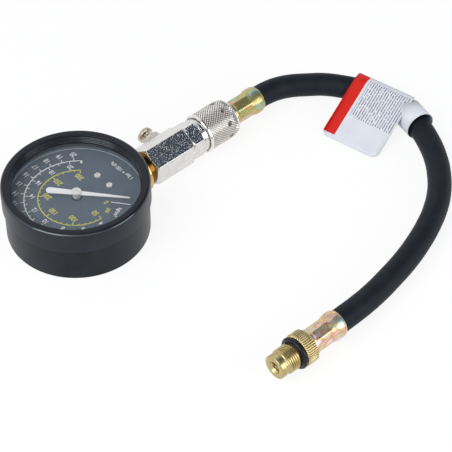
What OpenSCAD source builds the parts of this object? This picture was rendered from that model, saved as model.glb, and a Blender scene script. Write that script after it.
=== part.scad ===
// Engine compression tester: a dial gauge with its movement, a relief valve,
// a quick coupler and a rubber hose that ends in a spark plug thread.
// Millimetres, +Z up. The origin is the centre of the case back, the stem runs
// along -Y and the relief button points along +X.

/* [Gauge case] */
// Outer radius of the case
case_r = 38; // [36:0.5:42]
// Thickness of the case wall
case_wall = 1.6; // [1.2:0.1:2]
// Thickness of the case back
case_floor = 1.6; // [1.4:0.1:2]
// Radius of the rounded edge of the case back
case_edge = 1.2; // [0.4:0.1:1.4]
// Thickness of the bezel skirt round the case
bezel_wall = 1; // [0.8:0.1:1.6]
// Height of the bezel skirt below the rim of the case
bezel_drop = 4.3; // [3:0.1:5]
// Height of the bezel above the lens
bezel_rise = 5.2; // [4.2:0.1:7]
// Width of the flat rim on top of the bezel
bezel_rim = 4.5; // [3.5:0.1:5]
// Radius of the rounded outer edge of the bezel
bezel_edge = 1.5; // [0.5:0.1:2]
// How far the bezel covers the edge of the lens
lens_lap = 4.1; // [3:0.1:5]
// Thickness of the lens
lens_t = 1.6; // [1:0.1:2.5]
// Thickness of the gasket under the lens
gasket_t = 1.5; // [1:0.1:2]
// Width of the gasket under the lens
gasket_w = 1.6; // [1:0.1:2]

/* [Dial and pointer] */
// Height of the dial face above the case back
dial_z = 21.3; // [20.8:0.1:23]
// Thickness of the dial plate
dial_t = 0.8; // [0.5:0.1:1]
// Height of the dial's upturned edge
dial_lip = 3; // [2:0.1:3.2]
// Radius of the hole at the dial centre
dial_hole_r = 2.8; // [2.6:0.1:3.4]
// Distance of the dial screws from the dial's upright centre line
dial_screw_x = 4.9; // [4.5:0.1:5]
// Distance of the dial screws below the dial centre
dial_screw_y = 18.1; // [17.5:0.1:19]
// Radius of a dial screw head
dial_screw_r = 1.65; // [1.5:0.05:1.9]
// Room between the dial face and the pointer
pointer_rise = 3.3; // [2.8:0.1:4]
// Thickness of the pointer
pointer_t = 0.5; // [0.3:0.1:0.8]
// Length of the pointer from its axis to its point
pointer_l = 28.3; // [24:0.1:32]
// Length of the pointer's tail
pointer_tail = 16; // [12:0.5:18]
// Width of the pointer at its hub
pointer_w = 2.9; // [2.8:0.1:4]
// Width of the round end of the tail
tail_w = 4; // [3.6:0.1:5]
// Width of the pointer at its point
point_w = 0.7; // [0.5:0.1:1]
// Radius of the pointer's hub disc
hub_r = 2.65; // [2.4:0.05:3.2]
// Thickness of the pointer's hub disc
hub_t = 0.9; // [0.8:0.1:1.4]
// Room between the hub and the lens
lens_gap = 0.4; // [0.3:0.1:1.5]
// Direction of the pointer at zero, in degrees from +X
zero_angle = -140; // [-150:1:-120]
// Sweep of the pointer from zero to full scale, in degrees
pointer_sweep = 270; // [240:5:280]

/* [Movement] */
// Height of the movement's back plate above the case back
plate_z = 5; // [4.8:0.1:5.4]
// Thickness of each movement plate
plate_t = 1.2; // [0.8:0.1:1.3]
// Clear height between the two movement plates
plate_gap = 10.8; // [10.4:0.1:11]
// Module of the gear teeth
tooth_module = 0.3; // [0.28:0.01:0.32]
// Number of teeth on the pinion
pinion_teeth = 14; // [14:1:15]
// Turns of the pointer for one turn of the sector
gear_ratio = 8; // [7:1:9]
// Height of the sector gear above the case back
sector_z = 10.5; // [10:0.1:11]
// Thickness of the sector gear
sector_t = 1.1; // [0.8:0.1:1.4]
// Distance from the sector's pivot to its tail pin
tail_r = 5; // [4.6:0.1:5.4]
// Length of the link between its two pins
link_l = 18; // [16:0.5:19]
// Radius of the curled pressure tube
tube_r = 30; // [29.5:0.1:30.5]
// Thickness of the flattened pressure tube
tube_t = 2.6; // [2.2:0.1:3]
// Height of the flattened pressure tube
tube_h = 9; // [8:0.1:10]
// Wall of the pressure tube
tube_wall = 0.4; // [0.3:0.05:0.6]
// Number of turns of the hairspring
hair_turns = 5; // [3:1:6]

/* [Stem and valve body] */
// Height of the stem axis above the case back
stem_z = 12; // [11.8:0.1:13]
// Radius of the stem where it passes through the case wall
shank_r = 7.5; // [6.8:0.1:7.8]
// Radius of the stem's flange
flange_r = 11.5; // [10.5:0.1:11.7]
// Thickness of the stem's flange
flange_l = 4.2; // [3:0.1:6]
// Radius of the collar beyond the flange
collar_r = 10; // [8.5:0.1:10.4]
// Length of the collar beyond the flange
collar_l = 3.1; // [2:0.1:5]
// Radius of the screwed spigots inside the valve body
spigot_r = 6.5; // [6:0.1:7]
// Length of the screwed spigots inside the valve body
spigot_l = 6; // [5:0.5:6.5]
// Radius of the gas passage
passage_r = 1.6; // [1.2:0.1:1.8]
// Width of the valve body across its flats
valve_af = 20; // [19:0.1:20.4]
// Length of the valve body
valve_l = 27.2; // [26:0.1:34]

/* [Relief valve] */
// Distance of the relief valve from the gauge end of the valve body
relief_at = 16.5; // [15:0.1:16.8]
// Radius of the relief bush at its foot
bush_r = 5.6; // [5:0.1:5.7]
// Height of the relief bush above the valve body's flat
bush_h = 5; // [4:0.1:6]
// Radius of the button's head
button_r = 4.6; // [3.5:0.1:5.5]
// Thickness of the button's head
button_t = 2.4; // [1.6:0.1:3]
// Travel of the button
button_travel = 1.8; // [1:0.1:2]
// Radius of the button's stem
button_stem_r = 1.5; // [1.2:0.1:1.7]
// Radius of the vent hole in the bush
vent_r = 0.8; // [0.5:0.1:1]

/* [Quick coupler] */
// Width of the coupler's hexagon across its flats
coupler_af = 18.5; // [18:0.1:19.5]
// Length of the coupler's hexagon
coupler_hex_l = 8; // [6:0.5:12]
// Travel of the sleeve, which is the bare neck behind it
sleeve_travel = 3; // [2:0.1:4]
// Length of the sleeve
sleeve_l = 21.5; // [21:0.5:28]
// Wall of the sleeve over its spring
sleeve_wall = 0.9; // [0.7:0.1:1]
// Radius of the coupler's barrel inside the sleeve
barrel_r = 8.6; // [8.4:0.1:8.8]
// Room between the barrel and the sleeve for the sleeve's spring
spring_room = 1.8; // [1.6:0.1:2]
// Radius of the spring's wire
sleeve_wire = 0.35; // [0.3:0.05:0.5]
// Radius of the locking balls
ball_r = 1.5; // [1.4:0.05:1.6]
// How far the locking balls sink into the plug's groove
ball_bite = 0.5; // [0.4:0.05:0.6]
// Number of locking balls
ball_count = 6; // [4:1:8]

/* [Hose and end fitting] */
// Outer radius of the hose
hose_r = 6.5; // [6:0.1:6.5]
// Radius of the hose bore
hose_bore_r = 3.2; // [3.1:0.1:3.5]
// Length of a crimped ferrule
ferrule_l = 20.9; // [19:0.1:23]
// Radius of a ferrule at its crimped waist
ferrule_r = 6.9; // [6.8:0.1:7.2]
// Radius of a ferrule at its flared end
flare_r = 7.6; // [7.4:0.1:8]
// Number of crimp flats round a ferrule
crimp_count = 8; // [6:1:10]
// Radius of the spark plug thread
thread_r = 7; // [6:0.5:7]
// Length of the spark plug thread
thread_l = 7.2; // [6:0.1:19]
// Length of the plain nose ahead of the thread
pilot_l = 5; // [4.5:0.1:8]
// Outer radius of the sealing ring
seal_ring_r = 8.9; // [8.6:0.1:9]
// Radius of the sealing ring's cord
seal_cord_r = 1.45; // [1.2:0.05:1.6]
// Radius of the fitting's knurled collar
knurl_r = 9; // [8.5:0.1:9]
// Length of the fitting's knurled collar
knurl_l = 6.7; // [5:0.1:9]
// Travel of the valve core's pin
core_travel = 1.2; // [0.8:0.1:1.4]

/* [Hose tag] */
// Width of the tag's panel along the hose
tag_w = 36; // [30:1:40]
// Thickness of the tag's film
tag_t = 0.35; // [0.3:0.05:0.6]
// Slope of the panel below level, in degrees
tag_slope = 24; // [20:1:28]
// Width of the strap that loops round the hose
strap_w = 13; // [10:1:14]

/* [Hidden] */
$fn = 64;

// Small gaps: between seated faces, in a running fit, in a loose fit, and round a thin disc
seat = 0.05;
running = 0.05;
loose = 0.3;
disc_room = 0.4;

// How far a cut runs past the face it breaks through, and a solid into the one it joins
past = 1;

// Widths of a small and of a broad broken edge
edge = 0.4;
broad_edge = 0.8;

// Heights through the gauge head
case_in_r = case_r - case_wall;
pointer_z = dial_z + pointer_rise;
hub_top = pointer_z + pointer_t + hub_t;
lens_z = hub_top + lens_gap;
lens_top = lens_z + lens_t;
case_rim = lens_z - gasket_t - 2 * seat;
bezel_r = case_r + bezel_wall;
bezel_in_r = case_r + seat;
bezel_low = case_rim - bezel_drop;
bezel_top = lens_top + seat + bezel_rise;
lens_r = bezel_in_r - disc_room;
dial_r = case_in_r - disc_room;
dial_under = dial_z - dial_t;

// Stations along the stem, measured from the gauge axis
flange_gap = 0.5;
flange_s = bezel_r + flange_gap;
collar_s = flange_s + flange_l;
valve_s = collar_s + collar_l;
relief_s = valve_s + relief_at;
coupler_s = valve_s + valve_l;
neck_s = coupler_s + coupler_hex_l;
sleeve_s = neck_s + sleeve_travel;
sleeve_end = sleeve_s + sleeve_l;

// Places inside the coupler, from the back or the front end of the sleeve
shoulder_in = 1;
barrel_in = 5;
plug_in = 7;
land_in = 12;
ball_back = 6.5;
snap_back = 3.3;
barrel_back = 1;
ferrule_gap = 1;
snap_t = 1;
shoulder_s = sleeve_s + shoulder_in;
barrel_s = sleeve_s + barrel_in;
plug_s = sleeve_s + plug_in;
land_s = sleeve_s + land_in;
ball_s = sleeve_end - ball_back;
snap_s = sleeve_end - snap_back;
barrel_end = sleeve_end - barrel_back;
ferrule_s = sleeve_end + ferrule_gap;

// Socket block inside the case
block_w = 16;
block_near = 13;
block_gap = 2;
block_far = sqrt(pow(case_in_r, 2) - pow(block_w / 2, 2)) - block_gap;
block_low = case_floor + seat;
block_drop = 0.5;
block_top = plate_z + plate_t + plate_gap - block_drop;
ledge_near = 6;
ledge_side = 1;
post_r = 3;
tube_hole_r = 1;
tube_slot_turn = 20;
tube_seat = 3;
tube_from = 270 - asin((block_w / 2 - tube_seat) / tube_r);

// Screws
screw_r = 1.2;
screw_head_r = 1.9;
screw_head_t = 0.9;
slot_w = 0.6;
dial_screw_grip = 4;
pillar_screw_grip = 3;
ledge_screw_grip = 2;
hole_spare = 1;
case_screw_x = 5;
case_screw_s = 22;
case_screw_head_r = 2.6;
case_screw_head_t = 1.2;
case_screw_grip = 5;
case_slot_depth = 0.5;

// Gear pair, with the sector's pivot up and to the right of the pointer axis
pivot_angle = 60;
pinion_r = tooth_module * pinion_teeth / 2;
sector_r = pinion_r * gear_ratio;
sector_teeth = pinion_teeth * gear_ratio;
tooth_add = 0.8 * tooth_module;
tooth_ded = 1.15 * tooth_module;
backlash = 0.15 * tooth_module;
pressure = 20;
pivot = (pinion_r + sector_r) * [cos(pivot_angle), sin(pivot_angle)];
swing = pointer_sweep / gear_ratio;
mesh_angle = pivot_angle + 180;
tooth_step = 360 / sector_teeth;
teeth_after = ceil(swing / tooth_step) + 2;
link_angle = -60;
tail_angle = link_angle + 90 - swing / 2;
tail_pin = pivot + tail_r * [cos(tail_angle), sin(tail_angle)];
tip_pin = tail_pin + link_l * [cos(link_angle), sin(link_angle)];
pin_r = 0.8;
arm_r = 1.8;
tip_angle = atan2(tip_pin[1], tip_pin[0]);
tip_half = 2.6;
tube_to = tip_angle + asin((tip_half + seat) / (tube_r - tube_t / 2));
link_t = 0.8;
link_z = sector_z + sector_t + 2 * seat;

// Movement plates and pillars
front_z = plate_z + plate_t + plate_gap;
front_top = front_z + plate_t;
arbor_r = 1.2;
press_gap = 0.02;
pivot_r = 0.6;
spindle_r = 0.8;
boss_r = 2.2;
pillar_r = 1.8;
pillar_hole = 4;
pivot_arm = 5;
pillar_arm = 3.4;
ledge_arm = 2.9;
ledge_screw = [6, -9.5];
pillar_spots = [
    [-9.5, 5],
    pivot + polar(9.3, pivot_angle - 120),
    [0, -9.5]
];
hair_drop = 2.8;
hair_z = front_z - hair_drop;
hair_h = 0.7;
hair_t = 0.18;
hair_in_r = 1.9;
hair_out_r = 5;
hub_boss_r = 1.9;
hub_boss_l = 1.8;
hub_neck_r = 1.2;
hub_roof = 0.5;
hub_slot_depth = 0.3;

// Relief valve, with stations along +X from the stem axis
valve_flat = valve_af / 2;
hex_chamfer = 30;
spigot_room = 0.5;
relief_web = 1;
relief_floor = passage_r + relief_web;
relief_pocket_r = 3.6;
relief_port_r = 1;
bush_screwed = 1.7;
bush_in = valve_flat - bush_screwed;
bush_dome = 2;
relief_seal_t = 1.15;
relief_flange_t = 0.9;
relief_seal_x = bush_in - seat - relief_seal_t;
relief_flange_x = relief_seal_x - relief_flange_t - seat;
relief_flange_r = 2.6;
bush_top = valve_flat + seat + bush_h;
vent_angle = 245;
button_room = 1.2;
button_x = bush_top + button_travel + button_room;
button_neck_r = 2.6;
button_taper = 1.1;
button_edge = 0.7;
relief_coil_r = 2.2;
relief_turns = 3;
fine_wire = 0.22;

// Radii of the quick coupler, worked out from the barrel inwards and outwards
sleeve_bore_r = barrel_r + spring_room;
sleeve_r = sleeve_bore_r + sleeve_wall;
neck_r = sleeve_bore_r - 2 * loose;
shoulder_r = sleeve_bore_r - 2 * running;
land_r = barrel_r + 2 * running;
mouth_r = barrel_r + snap_t;
snap_groove_r = barrel_r - snap_t / 2;
snap_r = mouth_r - loose;
ball_at = barrel_r - running - ball_r;
nose_r = ball_at - ball_r + ball_bite - running;
groove_r = ball_at - ball_r - 3 * running;
groove_half = ball_r - 4 * running;
groove_taper = 0.4;
ball_room = 0.08;
coupler_seal_r = 0.55;
seal_in = 3;
seal_s = plug_s + seal_in;
dimple_count = 8;
dimple_r = 1.6;
dimple_depth = 0.6;
dimple_turn = 16;
sleeve_turns = 4;
sleeve_nose_l = 3.4;
sleeve_nose_bevel = 1.1;
neck_foot = 0.6;
neck_foot_l = 0.3;
plug_room = 0.5;
plug_taper = 1;
snap_opening = 1.8;

// Ferrules and barbs
grip_r = 4.5;
grip_l = 1.8;
hose_sides = 12;
hose_gap = 0.1;
barb_gap = 0.12;
barb_step = 0.5;
barb_count = 4;
barb_r = hose_bore_r * cos(180 / hose_sides) - barb_gap;
crimp_depth = 0.35;
crimp_r = ferrule_r - crimp_depth;
ferrule_wall = 0.9;
ferrule_bore_r = ferrule_r - ferrule_wall;
crimped_hose_r = ferrule_bore_r - hose_gap;
ferrule_lip_l = 2.5;
ferrule_lip = 0.2;
ferrule_flare_l = 7.5;
tail_short = 4;

// Route of the hose, from inside the near ferrule to inside the far one
route = [
    [0, -112, 12], [0, -117, 12], [0, -122, 12], [0, -128, 12], [-0.5, -136, 12],
    [-2, -143, 11.8], [-5, -150.5, 11.2], [-9.5, -158, 10.4], [-15, -166, 9.5],
    [-22.5, -173, 8.6], [-31.5, -179, 7.9], [-42, -182.5, 7.6], [-53, -184.5, 7.6],
    [-64, -184, 7.6], [-75, -181.5, 7.5], [-86, -177, 7.2], [-96.5, -171, 7],
    [-106.5, -163, 7], [-115.5, -153.5, 7], [-123, -142.5, 7], [-129, -130.5, 7],
    [-134, -117.5, 7], [-138, -104, 7], [-141, -90, 7.2], [-143.5, -76, 7.7],
    [-145, -63, 8.5], [-145.5, -52, 9], [-145.5, -45, 9], [-145.5, -39, 9],
    [-145.5, -34, 9], [-145.5, -30, 9]
];
crimped_rings = 3;

// Far fitting, with stations from its tip along -Y
far_x = route[len(route) - 1][0];
far_z = route[len(route) - 1][2];
ring_gap = 0.2;
ring_s = pilot_l + thread_l + seal_cord_r + ring_gap;
knurl_s = ring_s + seal_cord_r + ring_gap;
far_grip_s = knurl_s + knurl_l;
far_ferrule_s = far_grip_s + hose_gap;
hose_back = 2;
far_hose_s = far_ferrule_s + grip_l + hose_back;
tip_y = route[len(route) - 1][1] + far_hose_s;
pilot_step = 0.5;
pilot_r = thread_r - pilot_step;
thread_lead = 0.6;
relief_cut_depth = 1.1;
relief_cut_r = thread_r - relief_cut_depth;
relief_cut_l = 0.8;
knurl_edge = 0.5;
core_bore_r = 2.7;
core_s = 3;
core_l = 5;
core_pin_r = 0.7;
core_seal_t = 0.85;
core_head_r = 1.9;
core_head_t = 1.4;
core_head_s = core_s + core_l + core_seal_t + 2 * seat;
core_spring_s = core_head_s + core_head_t + seat;
core_spring_solid = 3.4;
core_coil_r = 2;
core_turns = 4;
core_pin_out = 2;
core_pin_room = 0.25;
core_flat_x = 1.4;
core_flat_l = 1.5;
core_bore_l = core_spring_s + core_spring_solid + core_travel;

// Tag, placed where the hose passes below it
tag_spot = [-44, -183, 7.6];
tag_turn = 102.5;
tag_wrap = 108;
tag_room = 2.7;
tag_r = hose_r + tag_room;
tag_low = 0.4;
panel_corner = 4;
strap_spot = [-68.2, -183.4, 8.3];
strap_turn = 167;
strap_room = 1.1;
strap_r = hose_r + strap_room;
strap_reach = 345;
strap_steps = 23;

// Points on a round stretch of an outline
function arc(x, y, r, from, to, steps = 5) =
    [for (i = [0 : steps]) let (a = from + (to - from) * i / steps) [x + r * cos(a), y + r * sin(a)]];

// Involute of the tooth flank, in degrees
function involute(a) = tan(a) * 180 / PI - a;

// Half of a tooth's angle at radius r, on a gear of pitch radius p with n teeth
function flank(n, p, r) =
    90 / n - backlash / p * 90 / PI + involute(pressure)
    - involute(acos(min(1, p * cos(pressure) / r)));

// Outline points of one tooth centred on angle a
function tooth(n, p, a, foot, top, steps = 4) =
    let (base = max(foot, p * cos(pressure)))
    let (rs = [for (i = [0 : steps]) base + (top - base) * i / steps])
    concat(
        [polar(foot, a - flank(n, p, base))],
        [for (r = rs) polar(r, a - flank(n, p, r))],
        [for (i = [0 : steps]) polar(rs[steps - i], a + flank(n, p, rs[steps - i]))],
        [polar(foot, a + flank(n, p, base))]
    );

function polar(r, a) = [r * cos(a), r * sin(a)];

// Unit vector, and the direction of the route at one of its points
function unit(v) = v / norm(v);
function heading(i) = unit(route[min(i + 1, len(route) - 1)] - route[max(i - 1, 0)]);

// Ring of points round one point of the route
function ring(i, r) =
    let (side = unit(cross(heading(i), [0, 0, 1])))
    let (over = cross(side, heading(i)))
    [for (k = [0 : hose_sides - 1]) let (a = 360 * k / hose_sides)
        route[i] + r * (cos(a) * side + sin(a) * over)];

// Radius of the hose at one point of its route, narrower inside the crimps
function hose_radius(i) =
    i < crimped_rings || i >= len(route) - crimped_rings ? crimped_hose_r : hose_r;

// Places a shape with its own axis along the stem, s from the gauge axis
module along_stem(s) {
    translate([0, -s, stem_z]) rotate([90, 0, 0]) children();
}

// Places a shape with its own axis along the far fitting, s from its tip
module along_end(s) {
    translate([far_x, tip_y - s, far_z]) rotate([90, 0, 0]) children();
}

// Places a shape with its own axis along the relief valve
module along_relief(x) {
    translate([x, -relief_s, stem_z]) rotate([0, 90, 0]) children();
}

// Places a shape on both sides of the stem
module both_sides() {
    for (side = [-1, 1]) translate([side * dial_screw_x, -dial_screw_y, 0]) children();
}

module turned(outline) {
    rotate_extrude() polygon(outline);
}

// Outline of a bar with round ends between two points
module bar(a, b, r) {
    way = atan2(b[1] - a[1], b[0] - a[0]);
    polygon(concat(arc(b[0], b[1], r, way - 90, way + 90, 9), arc(a[0], a[1], r, way + 90, way + 270, 9)));
}

// Flat-sided tube section standing on end
module oblong(w, h) {
    square([w, h - w], center = true);
    for (side = [-1, 1]) translate([0, side * (h - w) / 2]) circle(w / 2);
}

// Hexagonal bar with a corner up, and ends chamfered as on a nut
module hex_bar(af, l) {
    corner = af / sqrt(3);
    face_r = af / 2 - edge;
    bevel = (corner - face_r) * tan(hex_chamfer);
    intersection() {
        linear_extrude(l) rotate(30) circle(corner, $fn = 6);
        turned([[0, 0], [face_r, 0], [corner, bevel], [corner, l - bevel], [face_r, l], [0, l]]);
    }
}

// Helical spring of round wire, from z = 0 to l
module coil(r, wire, l, turns) {
    sides = 6;
    steps = turns * 14;
    rise = l - 2 * wire;
    points = [for (i = [0 : steps], k = [0 : sides - 1])
        let (turn = 360 * turns * i / steps, a = 360 * k / sides, out = r + wire * cos(a))
        [out * cos(turn), out * sin(turn), wire + rise * i / steps + wire * sin(a)]];
    skin = [for (i = [0 : steps - 1], k = [0 : sides - 1]) let (j = (k + 1) % sides)
        [i * sides + k, (i + 1) * sides + k, (i + 1) * sides + j, i * sides + j]];
    first = [for (k = [0 : sides - 1]) k];
    last = [for (k = [sides - 1 : -1 : 0]) steps * sides + k];
    polyhedron(points, concat(skin, [first, last]), convexity = 8);
}

// Slotted cheese-head screw, with the underside of its head at z = 0
module slotted_screw(head_r, head_t, shank_r, shank_l) {
    difference() {
        union() {
            cylinder(r = head_r, h = head_t);
            translate([0, 0, -shank_l]) cylinder(r = shank_r, h = shank_l + seat);
        }
        translate([-head_r - past, -slot_w / 2, head_t / 2])
            cube([2 * (head_r + past), slot_w, head_t]);
    }
}

module case() {
    color("#202124") difference() {
        turned(concat(
            [[0, 0]],
            arc(case_r - case_edge, case_edge, case_edge, -90, 0),
            [[case_r, case_rim], [case_in_r, case_rim], [case_in_r, case_floor], [0, case_floor]]
        ));
        along_stem(case_in_r - shank_r) cylinder(r = shank_r + seat, h = shank_r + case_wall + past);
        for (side = [-1, 1]) translate([side * case_screw_x, -case_screw_s, -past]) {
            cylinder(r = screw_r + loose, h = case_floor + 2 * past);
            translate([0, 0, past - seat])
                cylinder(r1 = case_screw_head_r + 3 * seat, r2 = screw_r + loose,
                         h = case_screw_head_t + 2 * seat);
        }
    }
}

module bezel_ring() {
    step = 0.35;
    round_in = 0.5;
    foot = 0.6;
    lip = bezel_r - bezel_rim;
    aperture = lens_r - lens_lap;
    ledge = lens_top + seat;
    color("#1b1c1f") turned(concat(
        [[bezel_in_r, bezel_low], [bezel_r, bezel_low]],
        arc(bezel_r - bezel_edge, bezel_top - bezel_edge, bezel_edge, 0, 90),
        arc(lip + round_in, bezel_top - round_in, round_in, 90, 180, 3),
        [[lip, ledge + 8 * step], [lip - step, ledge + 7 * step], [lip - step, ledge + 5 * step],
         [lip - 2 * step, ledge + 4 * step], [aperture, ledge + foot], [aperture, ledge],
         [bezel_in_r, ledge]]
    ));
}

module lens() {
    color("#c9d4da", 0.35) translate([0, 0, lens_z]) cylinder(r = lens_r, h = lens_t);
}

module lens_gasket() {
    color("#151515") translate([0, 0, case_rim + seat]) difference() {
        cylinder(r = lens_r, h = gasket_t);
        translate([0, 0, -past]) cylinder(r = lens_r - gasket_w, h = gasket_t + 2 * past);
    }
}

module dial_plate() {
    color("#4b545c") difference() {
        turned([[0, dial_under], [dial_r, dial_under], [dial_r, dial_z + dial_lip],
                [dial_r - dial_t, dial_z + dial_lip], [dial_r - dial_t, dial_z], [0, dial_z]]);
        cylinder(r = dial_hole_r, h = bezel_top);
        both_sides() cylinder(r = screw_r + 2 * seat, h = bezel_top);
    }
}

module dial_screws() {
    color("#d8d8d4") both_sides()
        translate([0, 0, dial_z + seat])
            slotted_screw(dial_screw_r, screw_head_t, screw_r, dial_t + dial_screw_grip);
}

module pointer() {
    tail_x = tail_w / 2 - pointer_tail;
    color("#f2f2ee") translate([0, 0, pointer_z]) rotate(zero_angle)
    linear_extrude(pointer_t) difference() {
        union() {
            polygon([[pointer_l, -point_w / 2], [pointer_l, point_w / 2], [0, pointer_w / 2],
                     [tail_x, tail_w / 2], [tail_x, -tail_w / 2], [0, -pointer_w / 2]]);
            translate([tail_x, 0]) circle(tail_w / 2);
            circle(hub_boss_r);
        }
        circle(hub_neck_r + seat);
    }
}

module pointer_hub() {
    low = pointer_z - hub_boss_l;
    color("#cfcfcb") difference() {
        union() {
            translate([0, 0, low]) cylinder(r = hub_boss_r, h = hub_boss_l - seat);
            translate([0, 0, low]) cylinder(r = hub_neck_r, h = hub_top - low);
            translate([0, 0, pointer_z + pointer_t + seat]) cylinder(r = hub_r, h = hub_t - seat);
        }
        translate([0, 0, low - past])
            cylinder(r = spindle_r + running, h = hub_top - hub_roof - low + past);
        translate([-hub_r - past, -slot_w / 2, hub_top - hub_slot_depth])
            cube([2 * (hub_r + past), slot_w, hub_slot_depth + past]);
    }
}

module pinion_arbor() {
    spare = 0.6;
    teeth_z = sector_z - spare;
    teeth_l = sector_t + 2 * spare;
    root_r = pinion_r - tooth_ded;
    color("#b9bcc0") {
        translate([0, 0, plate_z + 2 * seat]) cylinder(r = pivot_r, h = plate_t);
        translate([0, 0, plate_z + plate_t + seat]) cylinder(r = arbor_r, h = plate_gap - 2 * seat);
        translate([0, 0, front_z - 2 * seat])
            cylinder(r = spindle_r, h = hub_top - hub_roof - 2 * seat - front_z);
        translate([0, 0, teeth_z]) linear_extrude(teeth_l) polygon([
            for (k = [0 : pinion_teeth - 1])
                each tooth(pinion_teeth, pinion_r, pivot_angle + (k + 0.5) * 360 / pinion_teeth,
                           root_r, pinion_r + tooth_add)
        ]);
    }
}

module sector_gear() {
    root_r = sector_r - tooth_ded;
    rim_w = 1.6;
    rim_r = root_r - rim_w;
    first = mesh_angle - (teeth_after + 0.5) * tooth_step;
    teeth_before = 2;
    last = mesh_angle + (teeth_before + 0.5) * tooth_step;
    hub = 3;
    spoke = 1.2;
    spoke_in = 4;
    slot_r = pin_r + 3 * running;
    slot_in = 0.6;
    slot_out = 0.4;
    tail_end = 1;
    tail_half = arm_r + loose;
    tail = unit(tail_pin - pivot);
    color("#c8a24a") translate([pivot[0], pivot[1], sector_z]) linear_extrude(sector_t) difference() {
        union() {
            polygon(concat(
                [for (k = [-teeth_after : teeth_before])
                    each tooth(sector_teeth, sector_r, mesh_angle + k * tooth_step,
                               root_r, sector_r + tooth_add)],
                [polar(root_r, last)],
                arc(0, 0, rim_r, last, first, 12),
                [polar(root_r, first)]
            ));
            bar([0, 0], polar(rim_r, first + spoke_in), spoke);
            bar([0, 0], polar(rim_r, last - spoke_in), spoke);
            bar([0, 0], tail * (tail_r + tail_end), tail_half);
            circle(hub);
        }
        circle(arbor_r + press_gap);
        bar(tail * (tail_r - slot_in), tail * (tail_r + slot_out), slot_r);
    }
}

module sector_arbor() {
    color("#b9bcc0") translate([pivot[0], pivot[1], 0]) {
        translate([0, 0, plate_z + 2 * seat]) cylinder(r = pivot_r, h = plate_gap + 2 * plate_t - 4 * seat);
        translate([0, 0, plate_z + plate_t + seat]) cylinder(r = arbor_r, h = plate_gap - 2 * seat);
    }
}

module bourdon_tube() {
    color("#b98b3e") translate([0, 0, stem_z]) rotate(tube_to) rotate_extrude(angle = tube_from - tube_to)
        translate([tube_r, 0]) difference() {
            oblong(tube_t, tube_h);
            oblong(tube_t - 2 * tube_wall, tube_h - 2 * tube_wall);
        }
}

module tube_tip() {
    ear = norm(tip_pin);
    lap = 0.6;
    cap = 0.4;
    color("#c8a24a") rotate(tip_angle) {
        translate([tube_r - tube_t / 2 - lap, -tip_half, stem_z - tube_h / 2 - cap])
            cube([tube_t + 2 * lap, 2 * tip_half, tube_h + 2 * cap]);
        translate([0, 0, sector_z]) linear_extrude(sector_t) difference() {
            bar([ear, 0], [tube_r - past, 0], arm_r);
            translate([ear, 0]) circle(pin_r + running);
        }
    }
}

module tip_link() {
    color("#c8a24a") translate([0, 0, link_z]) linear_extrude(link_t) difference() {
        bar(tail_pin, tip_pin, arm_r);
        for (p = [tail_pin, tip_pin]) translate(p) circle(pin_r + running);
    }
}

module link_pins() {
    head_r = 1.4;
    head_t = 0.6;
    low = sector_z - 3 * seat;
    high = link_z + link_t + seat;
    color("#b9bcc0") for (p = [tail_pin, tip_pin]) translate([p[0], p[1], 0]) {
        translate([0, 0, low - head_t]) cylinder(r = head_r, h = head_t);
        translate([0, 0, low - seat]) cylinder(r = pin_r, h = high - low + 2 * seat);
        translate([0, 0, high]) cylinder(r = head_r, h = head_t);
    }
}

module hairspring() {
    steps = hair_turns * 24;
    root = 0.2;
    collet_r = hair_in_r - loose;
    end_angle = atan2(pillar_spots[0][1], pillar_spots[0][0]);
    start = end_angle - 360 * hair_turns;
    reach = norm(pillar_spots[0]) - pillar_r - 2 * seat;
    pitch = (hair_out_r - hair_in_r) / steps;
    turn = (end_angle - start) / steps;
    color("#8f959c") translate([0, 0, hair_z]) linear_extrude(hair_h) {
        difference() {
            circle(collet_r);
            circle(arbor_r + running);
        }
        rotate(start) translate([arbor_r + root, -hair_t])
            square([hair_in_r + hair_t - arbor_r, 2 * hair_t]);
        polygon(concat(
            [for (i = [0 : steps]) polar(hair_in_r + pitch * i + hair_t, start + turn * i)],
            [for (i = [steps : -1 : 0]) polar(hair_in_r + pitch * i, start + turn * i)]
        ));
        rotate(end_angle) translate([hair_out_r - hair_t, -hair_t])
            square([reach - hair_out_r + hair_t, 2 * hair_t]);
    }
}

// Outline shared by both movement plates
module plate_outline() {
    bar([0, 0], pivot, pivot_arm);
    for (p = pillar_spots) bar([0, 0], p, pillar_arm);
}

// Holes shared by both movement plates
module plate_holes() {
    translate(pivot) circle(pivot_r + running);
    for (p = pillar_spots) translate(p) circle(screw_r + seat);
}

module movement_back_plate() {
    feet = [for (side = [-1, 1]) [side * ledge_screw[0], ledge_screw[1]]];
    color("#c8a24a") translate([0, 0, plate_z]) linear_extrude(plate_t) difference() {
        union() {
            plate_outline();
            bar(feet[0], feet[1], ledge_arm);
        }
        plate_holes();
        circle(pivot_r + running);
        for (p = feet) translate(p) circle(screw_r + seat);
    }
}

module movement_front_plate() {
    boss_top = pointer_z - hub_boss_l - loose;
    hole_r = spindle_r + running;
    color("#c8a24a") translate([0, 0, front_z]) {
        linear_extrude(plate_t) difference() {
            plate_outline();
            plate_holes();
            circle(hole_r);
        }
        linear_extrude(boss_top - front_z) difference() {
            circle(boss_r);
            circle(hole_r);
        }
    }
}

module movement_pillars() {
    color("#c8a24a") for (p = pillar_spots) translate([p[0], p[1], 0]) difference() {
        union() {
            translate([0, 0, plate_z + seat]) cylinder(r = screw_r, h = plate_t);
            translate([0, 0, plate_z + plate_t + seat]) cylinder(r = pillar_r, h = plate_gap - 2 * seat);
        }
        translate([0, 0, front_z - pillar_hole]) cylinder(r = screw_r + seat, h = pillar_hole);
    }
}

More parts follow.
